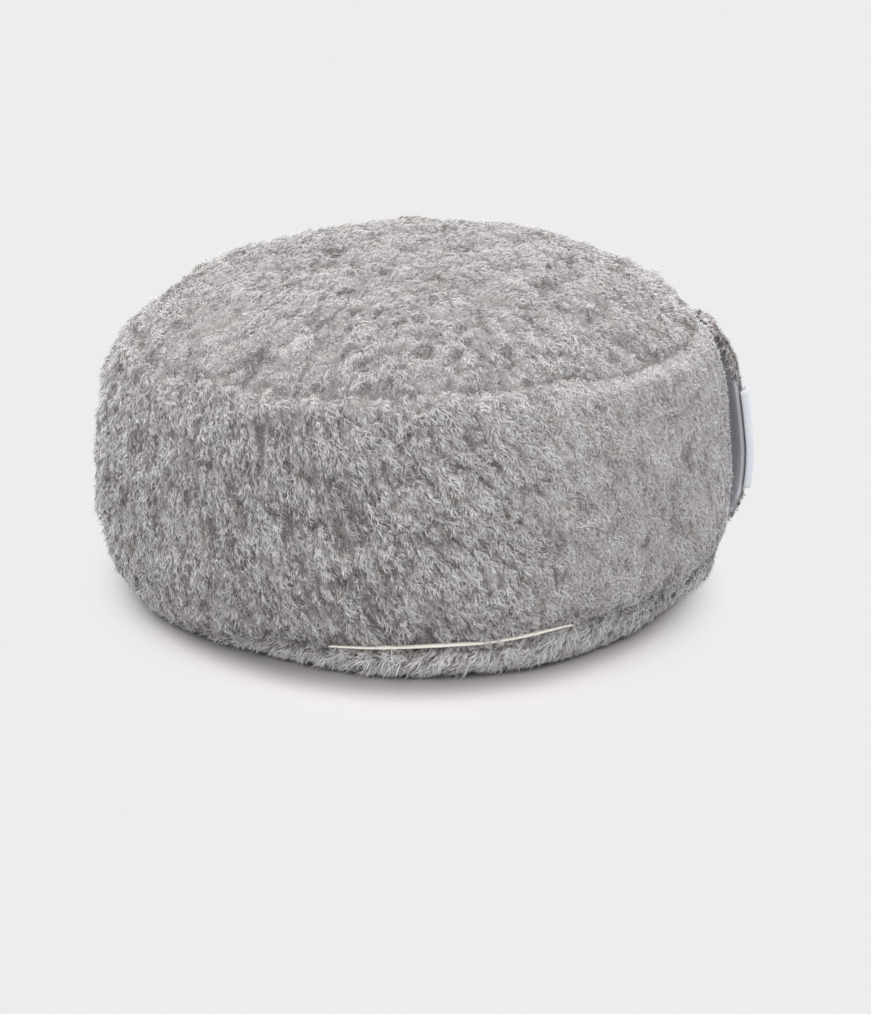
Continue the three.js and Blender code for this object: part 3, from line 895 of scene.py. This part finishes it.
@dataclass
class FleeceBody:
    """The cushion: a filled fleece skin and the pile on its crown, band and base.

    Lengths are in metres. The tables of partings, seams, dents and tufts are in millimetres and degrees: a parting
    or dent is its two ends and its strength or width, a tuft its place, reach and growth, and a seam its azimuths
    and the height and radius there. A name with felt says what changes where the pile is short and felted, and a
    waver is its amount and its reach along and across the nap.
    """

    node: bpy.types.Object
    shade: PileShade = PileShade()
    trim: PileTrim = PileTrim()
    pile_depth: float = 0.0027
    cell: float = 0.0045
    skin_under: float = 0.0026
    swell_pressure: float = 3.0
    swell_limit: float = 0.003
    swell_frames: int = 12
    seam_hold: float = 0.009
    lump_height: float = 0.0016
    lump_scale: float = 48.0
    ridge_height: float = 0.0019
    crown_share: float = 1.25
    ridge_gain: float = 2.6
    ridge_parts: tuple[float, float] = (1.2, 0.8)
    fine_fold: float = 1.9
    waver_across: tuple[float, float, float] = (0.7, 0.016, 0.02)
    waver_along: tuple[float, float, float] = (0.4, 0.02, 0.012)
    cleft_depth: float = 0.003
    cleft_share: float = 0.09
    cleft_parts: tuple[float, float] = (0.95, 0.8)
    cleft_patch: tuple[float, float] = (0.05, 0.035)
    felt_relief: float = 0.7
    felt_swell: float = 0.5
    felt_mix: float = 0.35
    felt_fray: float = 0.55
    lip_fray: float = 0.5
    lip_width: float = 0.011
    crease_inset: float = 0.0012
    crease_width: float = 0.0045
    tuck_drop: float = 0.002
    tuck_width: float = 0.005
    bend_from: float = -0.03
    bend_over: float = 0.17
    bend_most: float = 50.0
    fall_from: float = 0.115
    fall_to: float = 0.158
    fall_share: float = 0.8
    fall_droop: float = -0.5
    base_outward: float = 0.6
    base_aside: float = 0.9
    wall_radius: float = 0.185
    crown_lock: tuple[float, float] = (0.045, 0.0115)
    band_lock: tuple[float, float] = (0.026, 0.0066)
    crown_streak: tuple[float, float] = (0.019, 0.0046)
    band_streak: tuple[float, float] = (0.0135, 0.0027)
    drifts: tuple[tuple[float, float], ...] = (
        (-180, 0.1), (-165, 0.1), (-130, 0.35), (-98, 0.6), (-60, 0.45), (-20, 0.3), (30, 0.2), (180, 0.1),
    )
    parting_depth: float = 0.0034
    parting_core: float = 0.0019
    parting_width: float = 0.0020
    partings: tuple[tuple[float, ...], ...] = (
        (-98, -119, 165, -90, -124, 165, 1.0), (-77, -142, 160, -61, -150, 159, 1.3),
        (-62, -110, 179, -58, -115, 179, 0.6), (-92, -77, 182, -86, -72, 184, 0.6),
        (-56, -160, 154, -48, -163, 153, 1.0), (-177, -60, 130, -175, -67, 128, 0.6),
        (-88, -153, 151, -86, -160, 148, 0.7), (-142, -117, 141, -138, -124, 135, 0.6),
        (-31, -73, 192, -24, -75, 192, 0.6), (35, 29, 196, 54, 31, 195, 0.8),
        (7, -142, 172, 15, -144, 171, 0.7), (27, -160, 161, 34, -162, 159, 0.8),
        (98, -117, 168, 101, -125, 163, 1.0), (80, -146, 159, 88, -146, 155, 1.0),
        (96, -138, 158, 100, -144, 154, 0.8), (51, -111, 182, 58, -114, 180, 0.7),
        (108, -78, 178, 111, -87, 174, 0.7), (-63, -175, 135, -61, -177, 128, 0.8),
        (-30, -186, 114, -26, -187, 108, 1.1), (-117, -148, 118, -115, -150, 111, 0.9),
        (-136, -132, 74, -136, -132, 57, 0.9), (-123, -145, 70, -122, -145, 59, 0.9),
        (-31, -183, 138, -27, -184, 135, 0.6), (100, -159, 126, 100, -161, 110, 0.9),
        (102, -160, 104, 104, -159, 89, 1.0), (111, -154, 78, 121, -147, 70, 0.8),
        (81, -172, 72, 91, -167, 74, 0.6), (25, -181, 147, 29, -182, 144, 0.6),
        (-162, -53, 152, -157, -71, 151, 1.0), (-118, -144, 21, -116, -138, 13, 0.8),
        (-104, -155, 22, -101, -149, 15, 0.8), (-88, -168, 72, -84, -170, 65, 0.6),
        (-101, -160, 103, -99, -162, 95, 0.7), (-154, -111, 101, -152, -113, 92, 0.6),
        (-72, -176, 100, -69, -177, 95, 0.6), (-1, -187, 130, 3, -187, 125, 0.5),
    )
    seam_half: float = 6.5
    seam_drop: float = 14.0
    upper_seam: tuple[tuple[float, float, float], ...] = (
        (-160, 150.5, 172), (-152, 148.5, 171), (-138, 151.5, 172), (-108, 154, 172), (-74, 157.5, 172),
        (-50, 154, 172), (-24, 155, 171), (-6, 153.5, 167), (6, 154.5, 167), (18, 156.5, 172), (50, 157, 172),
        (85, 155, 172), (140, 151.5, 172),
    )
    lower_seam: tuple[tuple[float, float], ...] = (
        (-170, 10), (-145, 9.5), (-117, 18), (-90, 21), (-66, 25), (-40, 22.5), (0, 20), (60, 15), (130, 12),
    )
    dent_depth: float = 0.0022
    dents: tuple[tuple[float, ...], ...] = (
        (99, -160, 128, 104, -158, 86, 4.5), (108, -155, 82, 124, -146, 66, 7), (80, -173, 72, 92, -167, 74, 6),
        (60, -178, 110, 66, -177, 92, 6), (118, -148, 138, 124, -145, 120, 6), (40, -186, 84, 52, -183, 60, 7),
        (134, -134, 104, 137, -132, 80, 5),
    )
    tufts: tuple[tuple[float, ...], ...] = (
        (-51, -177, 28, 7, 2.3), (57, -170, 26, 7, 1.8), (-72, -166, 25, 7, 1.6), (-12, -181, 27, 6, 1.35),
        (22, -180, 26, 6, 1.3), (-28, -176, 12, 9, 1.5), (74, -160, 12, 9, 1.5), (-95, -150, 12, 8, 1.3),
    )
    stretches: tuple[Stretch, ...] = (
        Stretch("pile_crown_front", Panel.CROWN, high=0),
        Stretch("pile_crown_back", Panel.CROWN, low=0),
        Stretch("pile_band_left", Panel.BAND, high=-95),
        Stretch("pile_band_right", Panel.BAND, low=-95, high=-5),
        Stretch("pile_band_back_right", Panel.BAND, low=-5, high=85),
        Stretch("pile_band_back_left", Panel.BAND, low=85),
        Stretch("pile_base", Panel.BASE),
    )
    back_from: float = -5.0
    back_share: float = 0.66

    def build(
        self, tree: PileTree, pile: bpy.types.Material, skin_finish: bpy.types.Material
    ) -> list[bpy.types.Object]:
        """Makes the skin and its pile.

        Args:
            tree: the tree that grows strands.
            pile: the strands' finish.
            skin_finish: the finish of the cloth under them.

        Returns:
            The skin, then the pieces of pile.
        """
        skin = linked("fleece_skin", merged_copy(self.node, "fleece_skin"))
        self.sink(skin.data)
        remesh = skin.modifiers.new("even_cells", "REMESH")
        remesh.mode = "VOXEL"
        remesh.voxel_size = self.cell
        settle(skin)
        self.swell(skin)
        ground = linked("pile_ground", skin.data.copy())
        refine(ground)
        self.lumps(skin.data, self.skin_under)
        self.lumps(ground.data)
        self.comb(ground.data)
        pieces = [self.pile_piece(ground.data, tree, pile, stretch) for stretch in self.stretches]
        bpy.data.objects.remove(ground)
        skin.data.materials.append(skin_finish)
        skin.data.shade_smooth()
        return [skin, *pieces]

    def sink(self, mesh: bpy.types.Mesh) -> None:
        """Moves the skin in by the depth of the pile, except where the cushion rests."""
        places, normals = points_of(mesh)
        depth = self.pile_depth * (1 - smooth(0.55, 0.97, -normals[:, 2]) * 0.93)
        move_points(mesh, places - normals * depth[:, None])

    def polar(self, places: np.ndarray) -> tuple[np.ndarray, np.ndarray]:
        """Returns the azimuth in degrees and the radius of each place."""
        return np.degrees(np.arctan2(places[:, 1], places[:, 0])), np.hypot(places[:, 0], places[:, 1])

    def seams(self, places: np.ndarray) -> tuple[np.ndarray, np.ndarray]:
        """Returns how far each place is outside the upper seam and above the lower seam, in metres."""
        azimuth, radius = self.polar(places)
        outside = radius - (around(self.upper_seam, azimuth, 2) - self.seam_half) * MM
        under_it = places[:, 2] < (around(self.upper_seam, azimuth) - self.seam_drop) * MM
        above = places[:, 2] - around(self.lower_seam, azimuth) * MM
        return np.where(under_it, 0.05, outside), above

    def swell(self, skin: bpy.types.Object) -> None:
        """Fills the skin with a short cloth simulation, held at the seams and where it rests."""
        places, _ = points_of(skin.data)
        gaps = [np.abs(gap) / self.seam_hold for gap in self.seams(places)]
        held = np.maximum(1 - smooth(0.3, 1.0, gaps[0]), 1 - smooth(0.3, 1.0, gaps[1]))
        held = np.maximum(held, 1 - smooth(0.003, 0.010, places[:, 2]))
        group = skin.vertex_groups.new(name="held")
        for index in np.nonzero(held > 0.02)[0]:
            group.add([int(index)], float(held[index]), "REPLACE")
        cloth = skin.modifiers.new("filling", "CLOTH")
        settings = cloth.settings
        settings.use_pressure = True
        settings.uniform_pressure_force = self.swell_pressure
        settings.vertex_group_mass = group.name
        settings.effector_weights.gravity = 0.0
        settings.quality = 5
        settings.tension_stiffness = settings.compression_stiffness = 12.0
        settings.shear_stiffness = 6.0
        settings.bending_stiffness = 1.5
        cloth.collision_settings.use_collision = False
        scene = bpy.context.scene
        cloth.point_cache.frame_start, cloth.point_cache.frame_end = 1, self.swell_frames
        for frame in range(1, self.swell_frames + 1):
            scene.frame_set(frame)
        swollen, _ = points_of(evaluated(skin))
        skin.modifiers.clear()
        skin.vertex_groups.clear()
        scene.frame_set(1)
        step = swollen - places
        size = np.linalg.norm(step, axis=1, keepdims=True)
        move_points(skin.data, places + step * np.minimum(1.0, self.swell_limit / np.maximum(size, 1e-9)))

    def heading(self, places: np.ndarray) -> tuple[np.ndarray, np.ndarray]:
        """Returns each place's distances along and across the nap, in metres."""
        azimuth, _ = self.polar(places)
        outside, _ = self.seams(places)
        bend = self.bend(places)
        x, y = places[:, 0], places[:, 1]
        flat = np.stack((x * np.cos(bend) - y * np.sin(bend), x * np.sin(bend) + y * np.cos(bend)), axis=1)
        slant = np.arctan(self.drift(azimuth))
        arc, drop = np.radians(azimuth) * self.wall_radius, -places[:, 2]
        down, aside = drop * np.cos(slant) + arc * np.sin(slant), arc * np.cos(slant) - drop * np.sin(slant)
        wall = np.stack((down, aside), axis=1)
        both = np.where((outside < 0)[:, None], flat, wall)
        return both[:, 0], both[:, 1]

    def bend(self, places: np.ndarray) -> np.ndarray:
        """Returns how far the crown's nap turns towards the front, in radians."""
        return np.radians(np.clip((places[:, 0] - self.bend_from) / self.bend_over, -0.3, 1) * self.bend_most)

    def drift(self, azimuth: np.ndarray) -> np.ndarray:
        """Returns how far the band's nap runs sideways for each step down."""
        turns, values = zip(*self.drifts)
        return np.interp(azimuth, turns, values)

    def fold(self, u: float, v: float, long: float, wide: float) -> tuple[float, float]:
        """Reads the relief of the fleece at one place.

        Args:
            u: distance along the nap.
            v: distance across it.
            long: how long the locks are.
            wide: how wide they are.

        Returns:
            The ridge that the nap lies in, from -1 to 1, and the cleft beside it, from 0 to 1.
        """
        spot = Vector((u / long, v / wide, 0.0))
        amount, over_u, over_v = self.waver_across
        spot.y += amount * noise.noise(Vector((u / over_u, v / over_v, 4.0)))
        amount, over_u, over_v = self.waver_along
        spot.x += amount * noise.noise(Vector((u / over_u, v / over_v, 8.0)))
        large = noise.noise(spot)
        small = noise.noise(spot * self.fine_fold + Vector((5.0, 11.0, 3.0)))
        patch = 0.8 + 1.1 * noise.noise(Vector((u / self.cleft_patch[0], v / self.cleft_patch[1], 9.0)))
        broad, fine = self.ridge_parts
        ridge = min(1.0, abs(large) * self.ridge_gain) * broad - broad / 2
        ridge += min(1.0, abs(small) * self.ridge_gain) * fine - fine / 2
        broad, fine = self.cleft_parts
        broad *= math.exp(-((large / self.cleft_share) ** 2)) * min(1.0, max(0.0, patch))
        fine *= math.exp(-((small / self.cleft_share) ** 2)) * min(1.0, max(0.0, 1.5 - patch))
        return ridge, max(broad, fine)

    def relief(self, places: np.ndarray) -> tuple[np.ndarray, np.ndarray]:
        """Reads the relief of the fleece.

        Args:
            places: points on the skin.

        Returns:
            The ridges that the nap lies in, from -1 to 1, and the clefts and partings, from 0 to 1 and a little over.
        """
        outside, _ = self.seams(places)
        sizes = np.where((outside < 0)[:, None], self.crown_lock, self.band_lock)
        calm = 1 - self.felt_relief * self.calm(places)
        folds = np.array([self.fold(*row) for row in zip(*self.heading(places), sizes[:, 0], sizes[:, 1])])
        ridges, clefts = folds[:, 0] * calm, folds[:, 1] * calm
        for row in np.array(self.partings):
            gap = gap_to(places, row[:3] * MM, row[3:6] * MM)
            cleft = row[6] * np.exp(-((np.maximum(gap - self.parting_core, 0.0) / self.parting_width) ** 2))
            clefts = np.maximum(clefts, cleft)
        return ridges, clefts

    def swelling(self, places: np.ndarray) -> np.ndarray:
        """Returns the soft lumps of the filling and the locks, from about -1 to 1, fullest where the pile is shaggy."""
        rise = self.patches(places, self.lump_scale, self.lump_scale * 2.6, 0.8, (7, 3, 5))
        return rise * (1 - self.felt_swell * self.calm(places))

    @staticmethod
    def patches(
        places: np.ndarray, large: float, small: float, share: float, shift: tuple[float, float, float] = (0, 0, 0)
    ) -> np.ndarray:
        """Adds two sizes of noise.

        Args:
            places: where it is read.
            large: the scale of the broad noise.
            small: the scale of the fine noise.
            share: how strong the fine noise is.
            shift: how far the fine noise is moved.

        Returns:
            The noise at each place.
        """
        aside = Vector(shift)
        return np.array([
            noise.noise(Vector(place) * large) + share * noise.noise(Vector(place) * small + aside) for place in places
        ])

    def calm(self, places: np.ndarray) -> np.ndarray:
        """Returns 1 where the pile is short and felted, on the right of the band, and 0 where it is shaggy."""
        azimuth, _ = self.polar(places)
        outside, _ = self.seams(places)
        return smooth(-100, -62, azimuth) * (1 - smooth(0, 30, azimuth)) * (outside >= 0)

    def lumps(self, mesh: bpy.types.Mesh, under: float = 0.0) -> None:
        """Adds the soft unevenness of the filling and the ridges and clefts of the fleece.

        Args:
            mesh: the skin or the ground that the pile stands on.
            under: how far it lies below that relief, in metres.
        """
        places, normals = points_of(mesh)
        ridges, clefts = self.relief(places)
        free = smooth(0.004, 0.02, places[:, 2])
        deep = np.maximum(clefts * self.cleft_depth, (clefts - 0.5) * 2 * self.parting_depth)
        outside, _ = self.seams(places)
        rise = ridges * self.ridge_height * np.where(outside < 0, self.crown_share, 1.0)
        step = self.swelling(places) * self.lump_height + rise - deep - self.dented(places) * self.dent_depth
        move_points(mesh, places + normals * ((step - under) * free)[:, None])

    def nap_way(self, places: np.ndarray) -> np.ndarray:
        """Returns the way that the pile is combed at each place."""
        azimuth, radius = self.polar(places)
        outside, above = self.seams(places)
        bend, turn = self.bend(places), np.radians(azimuth)
        level = np.zeros_like(turn)
        radial = np.stack((np.cos(turn), np.sin(turn), np.full_like(turn, self.fall_droop)), axis=1)
        fall = smooth(self.fall_from, self.fall_to, radius) * self.fall_share
        top = np.stack((np.cos(bend), -np.sin(bend), level), axis=1) * (1 - fall)[:, None] + radial * fall[:, None]
        along = np.stack((-np.sin(turn), np.cos(turn), level), axis=1)
        side = along * self.drift(azimuth)[:, None] + np.array((0.0, 0.0, -1.0))
        out = np.stack((np.cos(turn), np.sin(turn), level - 1.0), axis=1) * self.base_outward - along * self.base_aside
        return np.where((outside < 0)[:, None], top, np.where((above < 0)[:, None], out, side))

    def comb(self, mesh: bpy.types.Mesh) -> None:
        """Stores the nap: its direction, length, tone with painted shade and light, mixture, streaks and thickness."""
        places, normals = points_of(mesh)
        outside, above = self.seams(places)
        crown = (outside < 0)[:, None]
        lip = (1 - smooth(0.0, self.lip_width, outside)) * (outside >= 0)
        crease = (1 - smooth(0.0, self.crease_width, np.abs(outside + self.crease_inset))) * (outside < 0)
        tuck = (1 - smooth(0.0, self.tuck_width, np.abs(above + self.tuck_drop))) * (above < 0)
        ridges, clefts = self.relief(places)
        calm, down = self.calm(places), -normals[:, 2]
        trim = self.trim
        pile = (1 - trim.crease * crease - trim.tuck * tuck) * (1 - trim.rest * smooth(0.6, 0.97, down))
        pile = pile * (1 - trim.cleft * clefts + trim.ridge * ridges) * (1 - trim.felt * calm - trim.lip * lip)
        pile = pile * self.tufted(places)
        tone, patch = self.shade, self.patches(places, 70.0, 170.0, 0.7)
        # painted shade in the crease, tuck, clefts and dents and painted light on the lip, ridges and lumps, over the
        # pile's own tone
        shade = (
            tone.lip * lip - tone.crease * crease - tone.tuck * tuck - tone.cleft * clefts + tone.ridge * ridges
            + (tone.patch + tone.felt_patch * calm) * patch + tone.rise * self.swelling(places)
            - tone.dent * self.dented(places) + tone.ground - tone.crown * (outside < 0) - tone.felt * calm
        )
        trail = np.stack(self.heading(places), axis=1) / np.where(crown, self.crown_streak, self.band_streak)
        thick = np.clip(1.15 - smooth(0.75, 0.97, down), 0.1, 1.0) * (1 - 0.3 * np.clip(clefts, 0.0, 1.0))
        store(
            mesh, comb=self.nap_way(places), pile=pile, shade=shade, thick=thick, mix=1 + self.felt_mix * calm,
            fray=(1 - self.felt_fray * calm) * (1 - self.lip_fray * lip), track=np.column_stack((trail, 3.0 * crown)),
        )

    def dented(self, places: np.ndarray) -> np.ndarray:
        """Returns how far each place lies in one of the soft dents, from 0 to 1."""
        within = np.zeros(len(places))
        for row in np.array(self.dents) * MM:
            within = np.maximum(within, np.exp(-((gap_to(places, row[:3], row[3:6]) / row[6]) ** 2)))
        return within

    def tufted(self, places: np.ndarray) -> np.ndarray:
        """Returns how much longer the pile is at the few tufts that stand out."""
        longer = np.ones(len(places))
        for x, y, z, reach, growth in self.tufts:
            away = np.linalg.norm(places - np.array((x, y, z)) * MM, axis=1)
            longer += (growth - 1) * (1 - smooth(0.4, 1.0, away / (reach * MM)))
        return longer

    def pile_piece(
        self, skin: bpy.types.Mesh, tree: PileTree, finish: bpy.types.Material, stretch: Stretch
    ) -> bpy.types.Object:
        """Grows the pile on one stretch of the skin.

        Args:
            skin: the combed skin.
            tree: the tree that grows strands.
            finish: the strands' finish.
            stretch: which part of the skin it grows on.

        Returns:
            The piece of pile.
        """
        centres = np.empty(len(skin.polygons) * 3)
        skin.polygons.foreach_get("center", centres)
        centres = centres.reshape(-1, 3)
        azimuth, _ = self.polar(centres)
        outside, above = self.seams(centres)
        panel = {
            Panel.CROWN: outside < 0,
            Panel.BASE: (outside >= 0) & (above < 0),
            Panel.BAND: (outside >= 0) & (above >= 0),
        }[stretch.panel]
        piece = stretch_of(skin, stretch.name, panel & (azimuth >= stretch.low) & (azimuth < stretch.high))
        nap = NAPS[stretch.panel]
        if stretch.panel is Panel.BAND and stretch.low >= self.back_from:
            nap = replace(nap, density=nap.density * self.back_share, width=nap.width / self.back_share**0.5)
        tree.grow(piece, nap, finish)
        return piece


@dataclass(frozen=True)
class Fit:
    """How a flat cloth is fitted under the pile, in metres.

    It lies inside the frame's surface by slim, thins out over taper at each end, its upper end is drawn in by
    drawn_in, and it lies nearer the cushion's axis by sunk.
    """

    slim: float = 0.0
    taper: float = 0.0
    drawn_in: float = 0.0
    sunk: float = 0.0


@dataclass
class CarryHandle:
    """The carry handle: a napped strap, its smooth lining and the blank label folded over it."""

    pile_node: bpy.types.Object
    pile_depth: float = 0.0028
    strap_half: float = 0.019
    turn_over: float = 0.0026
    streak_size: float = 0.006
    tilts: tuple[tuple[float, float], ...] = ((0.018, -50), (0.040, 0), (0.105, 0), (0.148, 45))
    label_span: tuple[float, float] = (0.041, 0.107)
    label_reach: float = -0.0108
    taper_steps: int = 24
    taper_share: float = 0.55

    def build_strap(
        self, tree: PileTree, pile: bpy.types.Material, skin_finish: bpy.types.Material
    ) -> list[bpy.types.Object]:
        """Makes the strap's cloth and the pile on its outer side.

        Args:
            tree: the tree that grows strands.
            pile: the strands' finish.
            skin_finish: the finish of the cloth under them.

        Returns:
            The cloth, then its pile.
        """
        mesh = merged_copy(self.pile_node, "strap_cloth")
        self.fold_over(mesh)
        strap = linked("strap_cloth", mesh)
        refine(strap)
        mesh = strap.data
        self.comb(mesh)
        fur = linked("strap_pile", mesh.copy())
        tree.grow(fur, STRAP_NAP, pile)
        for attribute in tree.SKIN_VALUES:
            mesh.attributes.remove(mesh.attributes[attribute])
        mesh.materials.append(skin_finish)
        mesh.shade_smooth()
        return [strap, fur]

    def fold_over(self, mesh: bpy.types.Mesh) -> None:
        """Moves the strap in by the depth of its pile and turns its edges over the lining near both ends."""
        places, normals = points_of(mesh)
        inward = smooth(-0.5, 0.1, -normals[:, 0])
        places = places - normals * (self.pile_depth * (1 - inward))[:, None]
        ends = smooth(0.104, 0.112, places[:, 2]) + 1 - smooth(0.036, 0.044, places[:, 2])
        heights, angles = zip(*self.tilts)
        tilt = np.radians(np.interp(places[:, 2], heights, angles))
        over = np.stack((-np.cos(tilt), np.zeros_like(tilt), -np.sin(tilt)), axis=1)
        rim = smooth(self.strap_half - 0.003, self.strap_half - 0.001, np.abs(places[:, 1])) * (normals[:, 0] < 0.2)
        move_points(mesh, places + over * (self.turn_over * ends * rim)[:, None])

    def comb(self, mesh: bpy.types.Mesh) -> None:
        """Stores the nap of the strap, which runs down, turns in at the edges and stops under the label."""
        places, normals = points_of(mesh)
        height, even = places[:, 2], np.ones(len(places))
        sides = smooth(0.5, 0.9, np.abs(normals[:, 1]))
        inwards = smooth(0.106, 0.115, height) + 1 - smooth(0.034, 0.042, height)
        way = np.tile((0.0, 0.15, -1.0), (len(places), 1)) + np.array((-2.2, 0.0, -0.8)) * (sides * inwards)[:, None]
        low, high = self.label_span
        under = smooth(low, low + 0.003, height) * (1 - smooth(high - 0.003, high, height))
        under = under * (1 - smooth(self.label_reach, self.label_reach + 0.001, places[:, 1]))
        store(
            mesh, comb=way, pile=1 + 0.2 * smooth(0.112, 0.13, height), shade=np.zeros(len(places)),
            thick=smooth(-0.5, -0.1, normals[:, 0]) * (1 - under), mix=even, fray=even, track=places / self.streak_size,
        )

    def build_plain(
        self, node: bpy.types.Object, name: str, finish: bpy.types.Material, fit: Fit = Fit()
    ) -> bpy.types.Object:
        """Makes a finer copy of one of the handle's flat cloths.

        Args:
            node: the frame's node.
            name: the piece's name.
            finish: its finish.
            fit: how it is fitted under the pile.

        Returns:
            The piece.
        """
        piece = linked(name, merged_copy(node, name))
        places, normals = points_of(piece.data)
        places = places - normals * fit.slim
        places[:, :2] *= 1 - fit.sunk / np.hypot(places[:, 0], places[:, 1])[:, None]
        if fit.drawn_in:
            places[:, 1] *= 1 - fit.drawn_in / self.strap_half * smooth(0.108, 0.124, places[:, 2])
        if fit.taper:
            self.thin_out(places, fit.taper)
        move_points(piece.data, places)
        refine(piece, "SIMPLE")
        piece.data.materials.append(finish)
        piece.data.shade_smooth()
        return piece

    def thin_out(self, places: np.ndarray, taper: float) -> None:
        """Draws the ends of a tape that runs along X towards its middle line.

        Args:
            places: the tape's points, which are moved.
            taper: over how much of its length each end thins out, in metres.
        """
        steps = np.linspace(places[:, 0].min(), places[:, 0].max(), self.taper_steps + 1)
        slot = np.clip(np.digitize(places[:, 0], steps) - 1, 0, self.taper_steps - 1)
        middle = np.array([places[slot == number].mean(axis=0) for number in np.unique(slot)])
        axis = np.stack([np.interp(places[:, 0], middle[:, 0], middle[:, column]) for column in (1, 2)], axis=1)
        end = np.minimum(places[:, 0] - steps[0], steps[-1] - places[:, 0])
        kept = 1 - self.taper_share + self.taper_share * smooth(0.0, taper, end)
        places[:, 1:] = axis + (places[:, 1:] - axis) * kept[:, None]


@dataclass(frozen=True)
class Studio:
    """The floor and the light."""

    floor_half: float = 30.0
    sky: float = 0.82
    sun: float = 2.5
    sun_from: tuple[float, float, float] = (-0.12, -0.12, 1.0)
    sun_angle: float = 70.0

    def build(self, finish: bpy.types.Material) -> bpy.types.Object:
        """Lays the floor and sets up the light, and returns the floor."""
        mesh = bpy.data.meshes.new("studio_floor")
        half = self.floor_half
        corners = [(-half, -half, 0), (half, -half, 0), (half, half, 0), (-half, half, 0)]
        mesh.from_pydata(corners, [], [(0, 1, 2, 3)])
        floor = linked("studio_floor", mesh)
        mesh.materials.append(finish)
        world = bpy.data.worlds.new("studio_sky")
        world.use_nodes = True
        world.node_tree.nodes["Background"].inputs["Color"].default_value = (1.0, 1.0, 1.0, 1.0)
        world.node_tree.nodes["Background"].inputs["Strength"].default_value = self.sky
        bpy.context.scene.world = world
        data = bpy.data.lights.new("soft_overhead", "SUN")
        data.energy = self.sun
        data.angle = math.radians(self.sun_angle)
        light = bpy.data.objects.new("soft_overhead", data)
        light.rotation_mode = "QUATERNION"
        light.rotation_quaternion = Vector(self.sun_from).to_track_quat("Z", "Y")
        bpy.context.scene.collection.objects.link(light)
        bpy.context.scene.view_settings.view_transform = "Standard"
        return floor


def declare(piece: bpy.types.Object) -> None:
    """Lets a piece ride on the cushion's one body and logs its number of faces."""
    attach(piece, BODY)
    LOG.info("%s: %d faces", piece.name, len(piece.data.polygons))


def main() -> list:
    """Builds the cushion over its frame, then the studio.

    Returns:
        The frame's own lowest and highest corner.
    """
    StudioView().build()
    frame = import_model()
    frame_box = [list(corner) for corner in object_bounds()]
    nodes = frame["nodes"]
    tree = PileTree()
    pile = PileFinish().build()
    cloth = ClothFinish("fleece_backing", (172, 166, 165), Weave.NAPPED, pitch=1.0, relief=0.5, contrast=0.9).build()
    knit = ClothFinish("lining_knit", (214, 213, 224), Weave.KNIT, pitch=0.8).build()
    satin = ClothFinish("label_satin", (226, 230, 238), Weave.SATIN, pitch=0.6, relief=0.06).build()
    tape = ClothFinish("ecru_tape", (246, 241, 230), Weave.TWILL, pitch=0.8).build()
    skin, *piles = FleeceBody(nodes["cushion"]).build(tree, pile, cloth)
    for piece in (skin, *piles):
        declare(piece)
    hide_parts("cushion")
    handle = CarryHandle(nodes["handle_pile"])
    strap, fur = handle.build_strap(tree, pile, cloth)
    for piece in (strap, fur):
        declare(piece)
    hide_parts("handle_pile")
    lining = handle.build_plain(nodes["handle_lining"], "strap_lining", knit, Fit(drawn_in=0.011))
    declare(lining)
    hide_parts("handle_lining")
    label = handle.build_plain(nodes["handle_label"], "blank_label", satin)
    declare(label)
    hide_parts("handle_label")
    edge = handle.build_plain(nodes["placket_edge"], "ecru_edge", tape, Fit(slim=0.0004, taper=0.03, sunk=0.0014))
    declare(edge)
    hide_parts("placket_edge")
    Studio().build(FloorFinish().build())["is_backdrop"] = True
    return frame_box


if __name__ == "__main__":
    logging.basicConfig(level=logging.INFO, format="%(name)s %(message)s")
    bare_box = main()
